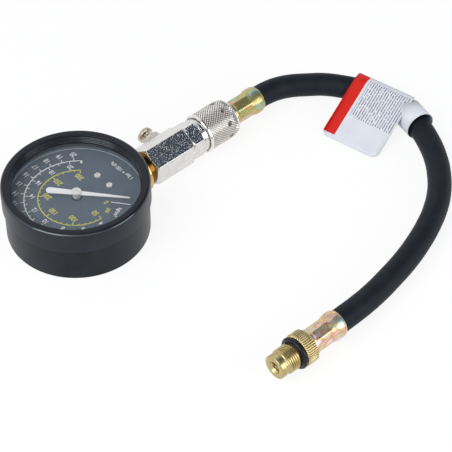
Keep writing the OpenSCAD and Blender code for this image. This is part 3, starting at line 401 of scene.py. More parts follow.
bright_zinc = plain_finish("bright_zinc", (0.80, 0.78, 0.77), (0.90, 0.88, 0.87), 0.40, 0.002, metal=0.4)
seal_rubber = plain_finish(
    "seal_rubber", (0.004, 0.004, 0.007), (0.009, 0.009, 0.014), 0.34, 0.003,
    shine=0.32, tint=BLUISH, peel=(0.0005, 0.00001, 0.2))
gasket_rubber = plain_finish(
    "gasket_rubber", (0.072, 0.096, 0.124), (0.094, 0.124, 0.160), 0.6, 0.004,
    shine=0.2, peel=(0.0005, 0.00001, 0.3))
dress(case_paint_and_reflection, "case")
dress(dial_paint_and_lens_sheen, "dial_plate")
dress(white_paint, "pointer")
dress(bright_zinc, "dial_screws", "pointer_hub")
dress(steel, "pinion_arbor", "sector_arbor", "link_pins", "hairspring", "movement_screws", "case_screws",
      "coupler_balls", "snap_ring")
dress(movement_brass, "sector_gear", "tube_tip", "tip_link", "movement_pillars")
dress(seal_rubber, "relief_seal", "coupler_seal", "valve_core_seal")
dress(gasket_rubber, "lens_gasket")
print("plain finishes", len(bpy.data.materials))

# %% [markdown]
# ## Brass and nickel
# The stem is golden brass, with painted shade and a painted dark reflection that turn its collar brown, and the
# spark plug end is a paler brass. The hexagons and the coupler are nickel plate over machined brass: bright,
# slightly warm, and pitted where the plate has settled into tool marks. The pits show as white specks in a dark
# reflection, and edges that are barely rounded catch the light as thin lines. Fingers have worn the relief button,
# and there the brass tints the plate.

# %% Brass and nickel
fitting_brass = plain_finish(
    "fitting_brass", (0.46, 0.37, 0.16), (0.62, 0.51, 0.27), 0.32, 0.003, metal=0.9,
    peel=(0.0006, 0.000006, 0.25))
PIT_SIZE = 0.0005
PIT_FROM, PIT_TO = 0.61, 0.66
PIT_METAL = 0.35
EDGE_ROUND = 0.0004
COLLAR_L = 0.0032
COLLAR_BLUR = 0.0003
# Painted shade and dark reflection: the dark brown laid on the stem's collar.
COLLAR_SHADE = (0.17, 0.08, 0.013)
collar_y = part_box("valve_body")[1].y + COLLAR_L


def stem_brass(name):
    """Golden brass, with painted shade and a painted dark reflection that turn the collar beyond the flange brown.
    """
    material, tree, shader = new_finish(name)
    place = pattern_place(tree)
    cloud = speckle(place, 0.004)
    golden = clouded(cloud, (0.62, 0.38, 0.11), (0.78, 0.52, 0.19))
    parts = tree.nodes.new("ShaderNodeSeparateXYZ")
    feed(parts, {"Vector": place})
    # Painted shade and a painted dark reflection cover the collar beyond the flange.
    collar_shade_mask = ranged(parts.outputs["Y"], 0.0, 1.0, collar_y + COLLAR_BLUR, collar_y - COLLAR_BLUR)
    feed(shader, {"Base Color": over(collar_shade_mask, golden, COLLAR_SHADE),
                  "Roughness": spread(cloud, 0.18, 0.28), "Metallic": 1.0})
    relief(shader, speckle(place, 0.0006), 0.000006, 0.25)
    return material


def pits(place):
    """1 in small pits with steep edges, scattered where a noise is high."""
    return ranged(speckle(place, PIT_SIZE, detail=2.0), 0.0, 1.0, PIT_FROM, PIT_TO, soft=True)


def nickel_plate(name, dark, light, pit_depth):
    """Bright plate with cloudy stains and scattered pits, which are dull and pale inside."""
    material, tree, shader = new_finish(name)
    place = pattern_place(tree)
    stain = speckle(place, 0.0035)
    pit = pits(place)
    plate = tinted(stain, [(0.32, dark), (0.68, light)])
    feed(shader, {"Base Color": over(pit, plate, light), "Roughness": spread(stain, 0.12, 0.22),
                  "Metallic": ranged(pit, 1.0, PIT_METAL)})
    bump = relief(shader, pit, pit_depth, 0.8)
    rounded = tree.nodes.new("ShaderNodeBevel")
    feed(rounded, {"Radius": EDGE_ROUND})
    feed(bump, {"Normal": rounded.outputs["Normal"]})
    return material


nickel = nickel_plate("pitted_nickel", (0.69, 0.68, 0.67), (0.76, 0.75, 0.74), 0.00007)
worn_nickel = nickel_plate("worn_nickel", (0.42, 0.35, 0.25), (0.70, 0.65, 0.57), 0.00001)
bush_nickel = nickel_plate("bush_nickel", (0.40, 0.38, 0.35), (0.68, 0.65, 0.61), 0.00001)
dress(stem_brass("stem_brass"), "socket")
dress(fitting_brass, "valve_core_body", "valve_core_pin")
dress(nickel, "valve_body", "coupler_body", "movement_back_plate", "movement_front_plate")
dress(worn_nickel, "relief_button")
dress(bush_nickel, "relief_bush")
print("plated finishes ready")

# %% [markdown]
# ## Yellow zinc
# The ferrules are steel with a thin passivated zinc coat. The coat is a film that bends light, so it drifts
# between straw, pale green and pink. A noise that is longer along the piece picks from those colours, which
# are greener on the near ferrule and pinker on the far one.

# %% Yellow zinc
GREENER = [(0.36, (0.40, 0.50, 0.40)), (0.43, (0.38, 0.42, 0.14)), (0.48, (0.62, 0.48, 0.19)),
           (0.52, (0.40, 0.42, 0.16)), (0.57, (0.74, 0.36, 0.20)), (0.63, (0.60, 0.58, 0.50))]
PINKER = [(0.36, (0.46, 0.62, 0.54)), (0.43, (0.78, 0.62, 0.38)), (0.48, (0.80, 0.50, 0.24)),
          (0.52, (0.50, 0.38, 0.26)), (0.57, (0.90, 0.48, 0.40)), (0.63, (0.84, 0.76, 0.78))]


def yellow_zinc(name, film):
    """Passivated zinc with the drifting colours of its film."""
    material, tree, shader = new_finish(name)
    drift = speckle(pattern_place(tree, (1.0, 0.3, 1.0)), 0.0032, detail=2.5)
    scratches = speckle(pattern_place(tree), 0.0008)
    feed(shader, {"Base Color": tinted(drift, film), "Roughness": spread(scratches, 0.24, 0.38),
                  "Metallic": 0.75})
    relief(shader, scratches, 0.00001, 0.25)
    return material


near_zinc = yellow_zinc("near_zinc", GREENER)
far_zinc = yellow_zinc("far_zinc", PINKER)
dress(near_zinc, "hose_plug")
print("zinc ready")

# %% [markdown]
# ## Hose rubber
# The hose is matt blue-black. It was cured in a cloth wrap, so its skin has a faint mottle that is longer
# along the hose than round it.

# %% Hose rubber
def hose_rubber(name):
    """Matt rubber with a soft bloom and a fine wrapped skin."""
    material, tree, shader = new_finish(name)
    place = pattern_place(tree)
    bloom = speckle(place, 0.007)
    skin = speckle(place, 0.0006, detail=4.0)
    feed(shader, {"Base Color": clouded(bloom, (0.005, 0.0065, 0.010), (0.010, 0.0125, 0.019)),
                  "Roughness": spread(skin, 0.50, 0.68),
                  "Specular IOR Level": 0.24, "Specular Tint": (*BLUISH, 1.0)})
    relief(shader, skin, 0.00003, 0.4)
    return material


hose_line.materials.append(hose_rubber("hose_rubber"))
print("hose dressed")

# %% [markdown]
# ## The lens
# A gauge lens is a flat clear disc. Most of the light goes straight through, so the disc is mostly
# transparent with a glossy skin, which also lets the lamps reach the dial.

# %% Lens
def clear_lens(name):
    """Clear glazing with a trace of haze."""
    material, tree, shader = new_finish(name)
    haze = speckle(pattern_place(tree), 0.02)
    feed(shader, {"Base Color": clouded(haze, (0.55, 0.60, 0.64), (0.70, 0.75, 0.78)),
                  "Roughness": spread(haze, 0.03, 0.06), "Specular IOR Level": 0.6, "Alpha": 0.05})
    return material


dress(clear_lens("clear_lens"), "lens")
print("lens dressed")

# %% [markdown]
# ## Turned pieces
# Most of this tester was made on a lathe, and the spin operator is Blender's lathe: it swings an outline
# round an axis. A full spin is merged where it meets itself, and its normals are put right afterwards. A part
# of a spin that also climbs makes a thread or a coil.

# %% Lathe
MERGE_GAP = 1e-7
ON_SKIN = 0.05
HAIR = 0.01
ALONG_STEM = Matrix.Rotation(math.pi / 2, 4, "X")


def turned(outline, steps):
    """A ring-shaped solid from a closed outline of (radius, height) in millimetres, round Z."""
    bm = bmesh.new()
    ring = [bm.verts.new((r * MM, 0, z * MM)) for r, z in outline]
    edges = [bm.edges.new((a, b)) for a, b in zip(ring, ring[1:] + ring[:1])]
    bmesh.ops.spin(bm, geom=ring + edges, cent=(0, 0, 0), axis=(0, 0, 1), angle=TURN, steps=steps,
                   use_merge=True)
    bmesh.ops.remove_doubles(bm, verts=bm.verts, dist=MERGE_GAP)
    bmesh.ops.recalc_face_normals(bm, faces=bm.faces)
    return bm


def swung(bm, corners, angle, steps, climb=0.0):
    """Swings a flat section round Z by an angle in radians, while it climbs that far in metres."""
    section = [bm.verts.new(corner) for corner in corners]
    face = bm.faces.new(section)
    bmesh.ops.spin(bm, geom=[face] + list(face.edges) + section, cent=(0, 0, 0), axis=(0, 0, 1),
                   dvec=(0, 0, climb / steps), angle=angle, steps=steps)


def settle(bm, name, place, material, body, crease=35):
    """Turns a bmesh into a finished piece at its place, riding on a body if one is named."""
    bmesh.ops.transform(bm, matrix=place, verts=bm.verts)
    mesh = bpy.data.meshes.new(name)
    bm.to_mesh(mesh)
    bm.free()
    mesh.shade_smooth()
    mesh.set_sharp_from_angle(angle=math.radians(crease))
    mesh.materials.append(material)
    piece = placed(name, mesh)
    if body:
        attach(piece, body)
    print(name, len(mesh.polygons), "faces")
    return piece


def arc(x, z, r, start, end, steps):
    """Points of a round stretch of an outline, with angles in degrees."""
    turns = [math.radians(start + (end - start) * i / steps) for i in range(steps + 1)]
    return [(x + r * math.cos(a), z + r * math.sin(a)) for a in turns]


def circle(x, z, r, sides):
    """Points of a full circle for an outline."""
    return arc(x, z, r, 0, 360 - 360 / sides, sides - 1)


def smooth(low, high, value):
    """0 below low, 1 above high, and a soft step between."""
    t = min(max((value - low) / (high - low), 0), 1)
    return t * t * (3 - 2 * t)


def turned_points(bm):
    """Each point of a turned piece with its radius and height in millimetres and its angle."""
    for vert in bm.verts:
        yield vert, math.hypot(vert.co.x, vert.co.y) / MM, vert.co.z / MM, math.atan2(vert.co.y, vert.co.x)


def stem_place(node):
    """The place of a turned piece that starts at the +Y end of its solid and runs towards -Y."""
    low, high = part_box(node)
    return Matrix.Translation(((low.x + high.x) / 2, high.y, (low.z + high.z) / 2)) @ ALONG_STEM


print("lathe ready")

# %% [markdown]
# ## The bezel
# The bezel is a deep rolled ring. Its flat rim is satin, its rounded outer edge is glossy, and the wall that falls
# towards the lens is turned in a row of fine steps, which catch the light as thin lines at the far side.

# %% Bezel
bezel_lo, bezel_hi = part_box("bezel_ring")
lens_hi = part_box("lens")[1]
BEZEL_R = bezel_hi.x / MM
BEZEL_LOW = bezel_lo.z / MM
BEZEL_TOP = bezel_hi.z / MM
BEZEL_LEDGE = lens_hi.z / MM + 0.05
BEZEL_BORE = BEZEL_R - 0.95
BEZEL_LIP = BEZEL_R - 4.5
BEZEL_APERTURE = lens_hi.x / MM - 4.1
RIB_COUNT = 4
RIB_STEP = 0.85
RIB_W = 0.22
RIB_FLAT = 0.50
BEZEL_CHAMFER = 0.15
RIM_ROUND = 1.5
LIP_ROUND = 0.5
BEZEL_STEPS = 128
SKIRT, RIBBED, EDGE = 1, 2, 3
wall_top = BEZEL_TOP - 0.9
wall = []
for k in range(RIB_COUNT):
    z = wall_top - k * RIB_STEP
    r = BEZEL_LIP - RIB_W * k
    wall += [(r, z), (r, z - RIB_FLAT), (r - RIB_W, z - RIB_FLAT - RIB_W)]
bezel_outline = (
    [(BEZEL_BORE, BEZEL_LOW), (BEZEL_R - BEZEL_CHAMFER, BEZEL_LOW), (BEZEL_R, BEZEL_LOW + BEZEL_CHAMFER)]
    + arc(BEZEL_R - RIM_ROUND, BEZEL_TOP - RIM_ROUND, RIM_ROUND, 0, 90, 8)
    + arc(BEZEL_LIP + LIP_ROUND, BEZEL_TOP - LIP_ROUND, LIP_ROUND, 90, 180, 5)
    + wall
    + [(BEZEL_APERTURE, BEZEL_LEDGE + 0.6), (BEZEL_APERTURE, BEZEL_LEDGE), (BEZEL_BORE, BEZEL_LEDGE)]
)
bezel = settle(turned(bezel_outline, BEZEL_STEPS), "rolled_bezel", IN_PLACE, bezel_paint, "gauge")
for paint in (skirt_paint, ribbed_paint, edge_paint):
    bezel.data.materials.append(paint)
for face in bezel.data.polygons:
    radius = face.center.xy.length / MM
    if radius > BEZEL_R - 0.1 and abs(face.normal.z) < 0.1:
        face.material_index = SKIRT
    elif radius < BEZEL_LIP + 0.02 and face.center.z / MM < wall_top:
        face.material_index = RIBBED
    elif radius > BEZEL_R - RIM_ROUND and 0.3 < face.normal.z < 0.9:
        face.material_index = EDGE
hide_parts("bezel_ring")

# %% [markdown]
# ## The knurled sleeve
# The sleeve of the coupler is rolled with a diamond knurl for grip and punched with a ring of dimples over
# the locking balls. Rolling pushes metal in along two crossing sets of grooves, and the same sum here moves
# the points of a finely turned band. How deep each point went is kept as an attribute, and the finish uses
# it to leave the plate dull in the grooves and to darken them with painted shade.

# %% Sleeve
sleeve_lo, sleeve_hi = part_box("coupler_sleeve")
STEM_Z = (sleeve_lo.z + sleeve_hi.z) / 2
SLEEVE_R = (sleeve_hi.x - sleeve_lo.x) / 2 / MM
SLEEVE_L = (sleeve_hi.y - sleeve_lo.y) / MM
SLEEVE_BORE = SLEEVE_R - 0.9
SLEEVE_MOUTH = SLEEVE_R - 1.7
SLEEVE_LAND = SLEEVE_R - 2.6
LAND_FROM, LAND_TO = 12.0, SLEEVE_L - 3.4
NOSE_L = 3.4
NOSE_BEVEL = 1.1
KNURL_COUNT = 40
KNURL_PARTS = 6
KNURL_DEPTH = 0.5
KNURL_FROM, KNURL_TO = 1.3, SLEEVE_L - 0.4
KNURL_PITCH = TURN * SLEEVE_R / KNURL_COUNT
DIMPLE_AT = SLEEVE_L - 6.5
DIMPLE_R = 2.0
DIMPLE_DEPTH = 0.6
DIMPLE_COUNT = 8
DIMPLE_TURN = 16
DIMPLE_FLAT = 0.2
KNURL_FADE = 0.6
GROOVE_FROM = 0.45
SLEEVE_ROUND = 0.4
NOSE_CHAMFER = 0.15


def sleeve_skin(z):
    """Radius of the sleeve before it is knurled: straight, then tapered at its nose."""
    return SLEEVE_R - NOSE_BEVEL * max(0, z - SLEEVE_L + NOSE_L) / NOSE_L


band_rows = math.ceil((KNURL_TO - KNURL_FROM) / KNURL_PITCH * KNURL_PARTS)
band_heights = [KNURL_FROM + (KNURL_TO - KNURL_FROM) * i / band_rows for i in range(band_rows + 1)]
sleeve_outline = (
    [(SLEEVE_BORE, 0), (SLEEVE_R - SLEEVE_ROUND, 0)]
    + arc(SLEEVE_R - SLEEVE_ROUND, SLEEVE_ROUND, SLEEVE_ROUND, -90, 0, 4)
    + [(sleeve_skin(z), z) for z in band_heights]
    + [(SLEEVE_R - NOSE_BEVEL, SLEEVE_L - NOSE_CHAMFER), (SLEEVE_R - NOSE_BEVEL - NOSE_CHAMFER, SLEEVE_L),
       (SLEEVE_MOUTH, SLEEVE_L), (SLEEVE_MOUTH, LAND_TO), (SLEEVE_LAND, LAND_TO), (SLEEVE_LAND, LAND_FROM),
       (SLEEVE_BORE, LAND_FROM)]
)


def groove(x):
    """0 on a groove and 1 half way to the next."""
    return 1 - 2 * abs(x - math.floor(x) - 0.5)


def knurled(angle, z):
    """How far the knurl and the dimples push the sleeve's skin in, in millimetres."""
    turn = angle / TURN * KNURL_COUNT
    rise = (z - KNURL_FROM) / KNURL_PITCH
    fade = smooth(KNURL_FROM, KNURL_FROM + KNURL_FADE, z) * (1 - smooth(KNURL_TO - KNURL_FADE, KNURL_TO, z))
    pushed = KNURL_DEPTH * (1 - min(groove(turn + rise), groove(turn - rise))) * fade
    step = TURN / DIMPLE_COUNT
    off = (angle - math.radians(DIMPLE_TURN) + step / 2) % step - step / 2
    away = math.hypot(off * SLEEVE_R, z - DIMPLE_AT)
    return pushed + DIMPLE_DEPTH * (1 - smooth(DIMPLE_FLAT, DIMPLE_R, away))


def knurled_nickel(name):
    """Warm nickel plate that is dull at the bottom of the grooves, where painted shade also darkens it."""
    material, tree, shader = new_finish(name)
    place = pattern_place(tree)
    stain = speckle(place, 0.004)
    plate = tinted(stain, [(0.32, (0.74, 0.71, 0.67)), (0.68, (0.88, 0.86, 0.82))])
    depth = tree.nodes.new("ShaderNodeAttribute")
    depth.attribute_name = "groove"
    deep = depth.outputs["Fac"]
    # Painted shade: the plate turns dark where the knurl is deep.
    feed(shader, {"Base Color": over(deep, plate, (0.20, 0.18, 0.17)),
                  "Roughness": ranged(deep, 0.20, 0.5), "Metallic": 1.0})
    relief(shader, speckle(place, 0.0008), 0.00001, 0.2)
    return material


sleeve_bm = turned(sleeve_outline, KNURL_COUNT * KNURL_PARTS)
groove_depth = sleeve_bm.verts.layers.float.new("groove")
for vert, radius, height, angle in turned_points(sleeve_bm):
    if radius > sleeve_skin(height) - ON_SKIN and KNURL_FROM - HAIR < height < KNURL_TO + HAIR:
        pushed = knurled(angle, height)
        # The share of the knurl's depth, which the finish turns into painted shade in the grooves.
        vert[groove_depth] = smooth(GROOVE_FROM, 1.0, pushed / KNURL_DEPTH)
        vert.co.xy *= (radius - pushed) / radius
sleeve_place = Matrix.Translation((0, sleeve_hi.y, STEM_Z)) @ ALONG_STEM
sleeve_plate = knurled_nickel("knurled_nickel")
sleeve = settle(sleeve_bm, "knurled_sleeve", sleeve_place, sleeve_plate, "sleeve", crease=20)
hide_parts("coupler_sleeve")

# %% [markdown]
# ## The ferrules
# A ferrule starts as a plain cup with a lip at its closed end and a flare at the hose. Eight jaws then press
# flats into its waist. Here the cup is turned first and its waist is pressed to an octagon with soft ends.

# %% Ferrules
near_lo, near_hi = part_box("near_ferrule")
FERRULE_L = (near_hi.y - near_lo.y) / MM
FLARE_R = (near_hi.x - near_lo.x) / 2 / MM
WAIST_R = FLARE_R - 0.7
LIP_L = 2.5
FLARE_L = 7.5
CRIMP_COUNT = 8
CRIMP_R = WAIST_R - 0.42
FERRULE_BORE = WAIST_R - 0.9
GRIP_R = 4.6
GRIP_L = 1.8
HOSE_GAP = 0.1
WAIST_ROWS = 18
WAIST_END = FERRULE_L - FLARE_L
FERRULE_STEPS = 96


def ferrule_outline():
    """Closed outline of a ferrule before it is crimped, with its closed end at height 0."""
    rows = [(WAIST_R, LIP_L + (WAIST_END - LIP_L) * i / WAIST_ROWS) for i in range(WAIST_ROWS + 1)]
    hose_r = HOSE_R / MM + HOSE_GAP
    return (
        [(GRIP_R, 0), (WAIST_R - 0.5, 0)] + arc(WAIST_R - 0.35, 0.8, 0.8, -90, 0, 5)
        + [(WAIST_R + 0.45, LIP_L - 0.9)] + rows
        + [(WAIST_R + 0.25, WAIST_END + 1.2), (FLARE_R - 0.08, WAIST_END + 2.5), (FLARE_R, WAIST_END + 3.2),
           (FLARE_R, FERRULE_L - 1.8), (FLARE_R - 0.12, FERRULE_L - 0.9), (FLARE_R - 0.45, FERRULE_L),
           (hose_r, FERRULE_L), (hose_r, FERRULE_L - 5.2), (FERRULE_BORE, WAIST_END), (FERRULE_BORE, GRIP_L),
           (GRIP_R, GRIP_L)]
    )


def crimp(bm):
    """Presses the flats into the waist of a turned ferrule."""
    step = TURN / CRIMP_COUNT
    for vert, radius, height, angle in turned_points(bm):
        press = smooth(LIP_L, LIP_L + 1.1, height) * (1 - smooth(WAIST_END - 1.4, WAIST_END, height))
        if radius > WAIST_R - ON_SKIN and press > 0:
            off = angle % step - step / 2
            flat = min(radius, CRIMP_R / math.cos(off))
            vert.co.xy *= (radius + (flat - radius) * press) / radius
    return bm


for name, node, zinc in (("near_crimp", "near_ferrule", near_zinc), ("far_crimp", "far_ferrule", far_zinc)):
    cup = turned(ferrule_outline(), FERRULE_STEPS)
    ferrule = settle(crimp(cup), name, stem_place(node), zinc, "hose", crease=24)
    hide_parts(node)

# %% [markdown]
# ## The spark plug end
# The brass end has a plain nose, a male thread, a groove for its sealing ring and a collar with straight
# ridges for the fingers. The body is turned, the collar's points are pressed in between the ridges, and the
# thread is a tooth that the spin operator carries along the axis as it turns.

# %% Spark plug end
THREAD_R = 7.0
THREAD_CORE = THREAD_R - 0.72
THREAD_FROM, THREAD_TO = 4.6, 12.2
THREAD_PITCH = 1.25
THREAD_STEPS = 48
PILOT_R = THREAD_R - 0.5
END_BORE = 2.75
RING_GROOVE_R = 5.95
COLLAR_R = 9.0
COLLAR_FROM, COLLAR_TO = 15.5, 22.2
COLLAR_RIDGES = 44
COLLAR_PARTS = 6
COLLAR_CHAMFER = 0.55
RIDGE_DEPTH = 0.42
RIDGE_SHARP = 2.2
THREAD_RUNOUT = 0.6
NOSE_ROUND = 0.4
TAIL_R = 4.5
end_outline = (
    [(END_BORE, 9.0), (END_BORE, 1.3), (END_BORE + 0.9, 0), (PILOT_R - NOSE_ROUND, 0)]
    + arc(PILOT_R - NOSE_ROUND, NOSE_ROUND, NOSE_ROUND, -90, 0, 4)
    + [(PILOT_R, 3.0), (PILOT_R - 0.6, 3.6), (PILOT_R - 0.6, 4.3), (THREAD_CORE, 4.7),
       (THREAD_CORE, THREAD_TO - 0.3), (RING_GROOVE_R, THREAD_TO), (RING_GROOVE_R, COLLAR_FROM),
       (COLLAR_R - COLLAR_CHAMFER, COLLAR_FROM), (COLLAR_R, COLLAR_FROM + COLLAR_CHAMFER),
       (COLLAR_R, COLLAR_TO - COLLAR_CHAMFER), (COLLAR_R - COLLAR_CHAMFER, COLLAR_TO), (TAIL_R, COLLAR_TO),
       (TAIL_R, COLLAR_TO + 2), (END_BORE, COLLAR_TO + 2)]
)
end_bm = turned(end_outline, COLLAR_RIDGES * COLLAR_PARTS)
for vert, radius, height, angle in turned_points(end_bm):
    if radius > COLLAR_R - COLLAR_CHAMFER - ON_SKIN and height > COLLAR_FROM - HAIR:
        turn = angle / TURN * COLLAR_RIDGES
        pushed = RIDGE_DEPTH * max(0, 1 - RIDGE_SHARP * groove(turn))
        vert.co.xy *= (radius - pushed) / radius

tooth = [(THREAD_CORE - 0.2, -0.55), (THREAD_R, -0.10), (THREAD_R, 0.10), (THREAD_CORE - 0.2, 0.55)]
thread_turns = (THREAD_TO - THREAD_FROM - 2 * THREAD_RUNOUT) / THREAD_PITCH
swung(end_bm, [(r * MM, 0, (THREAD_FROM + THREAD_RUNOUT + z) * MM) for r, z in tooth], thread_turns * TURN,
      round(thread_turns * THREAD_STEPS), climb=thread_turns * THREAD_PITCH * MM)
bmesh.ops.recalc_face_normals(end_bm, faces=end_bm.faces)
spark_end = settle(end_bm, "spark_plug_end", stem_place("end_fitting"), fitting_brass, "hose", crease=30)
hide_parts("end_fitting")

# %% [markdown]
# The sealing ring is a round cord of rubber. Its solid is a coarse torus, so a finer one is spun here from a
# circle of the same size.

# %% Sealing ring
ring_lo, ring_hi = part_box("end_o_ring")
RING_CORD = (ring_hi.y - ring_lo.y) / 2 / MM
RING_MIDDLE = (ring_hi.x - ring_lo.x) / 2 / MM - RING_CORD
RING_SIDES = 24
RING_STEPS = 72
ring_outline = circle(RING_MIDDLE, 0, RING_CORD, RING_SIDES)
ring_place = Matrix.Translation((ring_lo + ring_hi) / 2) @ ALONG_STEM
seal_ring = settle(turned(ring_outline, RING_STEPS), "seal_ring", ring_place, seal_rubber, "hose", crease=60)
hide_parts("end_o_ring")

# %% [markdown]
# ## The film tag
# A sheet of white film hangs over the hose and slopes to the ground, with a strap of the same film looped
# round the hose beside it. It is cut flat with two round corners, sliced across so that it can bend, and then
# bent over the hose. Its flat place is kept as a UV map, which carries the red band and the ruled lines.

# %% Film tag
TAG_SPOT = Vector((-45.6, -183.1, 7.6)) * MM
TAG_TURN = math.radians(102.5)
TAG_R = 9.35
TAG_WRAP = math.radians(108)
TAG_SLOPE = math.radians(25.6)
TAG_LEAN = math.pi / 2 - TAG_SLOPE
TAG_W = 36.0
TAG_T = 0.3
TAG_CORNER = 4.0
TAG_LOW = 0.5
BEND_CUTS, DROP_CUTS, CROSS_CUTS = 8, 22, 9
STRAP_SPOT = Vector((-68.2, -183.4, 8.5)) * MM
STRAP_TURN = math.radians(167)
STRAP_R = 8.2
STRAP_W = 13.0
STRAP_STEPS = 48
STRAP_REACH = 0.02
BARE_SPOT = (0.6, 0.8)
tag_bend = TAG_R * (TAG_WRAP - TAG_LEAN)
tag_drop = (TAG_SPOT.z / MM + TAG_R * math.sin(TAG_LEAN) - TAG_LOW) / math.sin(TAG_SLOPE)
tag_length = tag_bend + tag_drop

tag_bm = bmesh.new()
print_map = tag_bm.loops.layers.uv.new("print")
cut = [tag_bm.verts.new((x, y, 0)) for x, y in
       ((0, -TAG_W / 2), (tag_length, -TAG_W / 2), (tag_length, TAG_W / 2), (0, TAG_W / 2))]
tag_bm.faces.new(cut)
bmesh.ops.bevel(tag_bm, geom=[cut[1], cut[2]], affect="VERTICES", offset=TAG_CORNER, offset_type="OFFSET",
                segments=6, profile=0.5, material=-1)
slices = [((tag_bend * k / BEND_CUTS, 0, 0), (1, 0, 0)) for k in range(1, BEND_CUTS + 1)]
slices += [((tag_bend + tag_drop * k / DROP_CUTS, 0, 0), (1, 0, 0)) for k in range(1, DROP_CUTS)]
slices += [((0, TAG_W * (k / CROSS_CUTS - 0.5), 0), (0, 1, 0)) for k in range(1, CROSS_CUTS)]
for spot, way in slices:
    bmesh.ops.bisect_plane(tag_bm, geom=tag_bm.verts[:] + tag_bm.edges[:] + tag_bm.faces[:],
                           plane_co=spot, plane_no=way)
for face in tag_bm.faces:
    for loop in face.loops:
        loop[print_map].uv = (loop.vert.co.y / TAG_W + 0.5, loop.vert.co.x / tag_length)
for vert in tag_bm.verts:
    along, across, _ = vert.co
    if along < tag_bend:
        turn = TAG_WRAP - along / TAG_R
        x, z = TAG_R * math.cos(turn), TAG_R * math.sin(turn)
    else:
        x = TAG_R * math.cos(TAG_LEAN) + (along - tag_bend) * math.cos(TAG_SLOPE)
        z = TAG_R * math.sin(TAG_LEAN) - (along - tag_bend) * math.sin(TAG_SLOPE)
    vert.co = Vector((x, across, z)) * MM
tag_place = Matrix.Translation(TAG_SPOT) @ Matrix.Rotation(TAG_TURN, 4, "Z")
bmesh.ops.transform(tag_bm, matrix=tag_place, verts=tag_bm.verts)

strap_ends = [tag_bm.verts.new((side * STRAP_W / 2 * MM, 0, STRAP_R * MM)) for side in (-1, 1)]
strap_edge = tag_bm.edges.new(strap_ends)
bmesh.ops.spin(tag_bm, geom=strap_ends + [strap_edge], cent=(0, 0, 0), axis=(1, 0, 0), angle=TURN,
               steps=STRAP_STEPS, use_merge=True)


def round_origin(bm):
    """The points of the strap, which is made round the origin, well away from the panel."""
    return [v for v in bm.verts if v.co.length < STRAP_REACH]


bmesh.ops.remove_doubles(tag_bm, verts=round_origin(tag_bm), dist=MERGE_GAP)
strap_verts = round_origin(tag_bm)
strap_place = Matrix.Translation(STRAP_SPOT) @ Matrix.Rotation(STRAP_TURN, 4, "Z")
bmesh.ops.transform(tag_bm, matrix=strap_place, verts=strap_verts)
for vert in strap_verts:
    for loop in vert.link_loops:
        loop[print_map].uv = BARE_SPOT
bmesh.ops.recalc_face_normals(tag_bm, faces=tag_bm.faces)
print("tag length", round(tag_length, 1), "mm")

# %% [markdown]
# The print is worked out from the flat place of each point: a red band along one edge, and plain ruled lines
# over the upper half, worn thin in places. The back of the film is painted grey-blue, a painted shade of the white
# film.

# %% Tag print
LINE_STEP = 1.5
LINE_W = 0.5
LINES_ACROSS, LINES_ALONG = (0.25, 0.97), (0.07, 0.62)
BAND_ACROSS, BAND_ALONG = (-0.01, 0.205), (-0.01, 0.94)
WORN_FROM = 0.42


def times(a, b):
    """The product of two values."""
    return worked_out("MULTIPLY", a, b)


def between(value, low, high):
    """1 where low < value < high, and 0 elsewhere."""
    return times(worked_out("GREATER_THAN", value, low), worked_out("LESS_THAN", value, high))


def printed_film(name):
    """White film with a red band and ruled lines, read from the flat UV map."""
    material, tree, shader = new_finish(name)
    flat = tree.nodes.new("ShaderNodeUVMap")
    flat.uv_map = "print"
    parts = tree.nodes.new("ShaderNodeSeparateXYZ")
    feed(parts, {"Vector": flat.outputs["UV"]})
    across, along = parts.outputs["X"], parts.outputs["Y"]
    cloud = speckle(pattern_place(tree), 0.01)
    film = clouded(cloud, (0.74, 0.76, 0.84), (0.80, 0.82, 0.88))
    line = worked_out("PINGPONG", across, 0.5 * LINE_STEP / TAG_W)
    worn = between(speckle(pattern_place(tree), 0.0012), WORN_FROM, 1.0)
    ruled = times(times(between(line, 0.0, LINE_W / 2 / TAG_W), worn),
                  times(between(across, *LINES_ACROSS), between(along, *LINES_ALONG)))
    red = times(between(across, *BAND_ACROSS), between(along, *BAND_ALONG))
    ink = over(red, over(ruled, film, (0.16, 0.17, 0.22)), (0.72, 0.010, 0.003))
    feed(shader, {"Base Color": ink, "Roughness": spread(cloud, 0.34, 0.46), "Specular IOR Level": 0.3})
    return material


# Painted shade: the back of the white film is coloured grey-blue, kept light enough to show inside the strap.
film_back_shade = plain_finish("film_back_shade", (0.22, 0.30, 0.36), (0.30, 0.39, 0.46), 0.42, 0.006)
tag = settle(tag_bm, "film_tag", IN_PLACE, printed_film("printed_film"), "hose", crease=40)
tag.data.materials.append(film_back_shade)
thickness = tag.modifiers.new("thickness", "SOLIDIFY")
thickness.thickness = TAG_T * MM
thickness.offset = 0.0
thickness.material_offset = 1
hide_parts("hose_tag")

# %% [markdown]
# ## Springs and the curled tube
# Four hidden pieces change their shape when the tester works. Each spring is a round wire that the spin operator
# winds into a coil, and the curled tube that drives the pointer is swung round its arc from the tip to the root.

# %% Springs
SPRING_SIDES = 10
SPRING_STEPS = 20


def coil_spring(name, node, place, body, axis, wire, turns):
    """A coil as long and as wide as its solid."""
    low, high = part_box(node)
    length = Vector(axis).dot(high - low) / MM
    middle_r = (high.z - low.z) / 2 / MM - wire
    bm = bmesh.new()
    swung(bm, [(r * MM, 0, z * MM) for r, z in circle(middle_r, wire, wire, SPRING_SIDES)], turns * TURN,
          turns * SPRING_STEPS, climb=(length - 2 * wire) * MM)
    bmesh.ops.recalc_face_normals(bm, faces=bm.faces)
    spring = settle(bm, name, place, steel, body, crease=60)
    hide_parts(node)
    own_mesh(spring)
    return spring


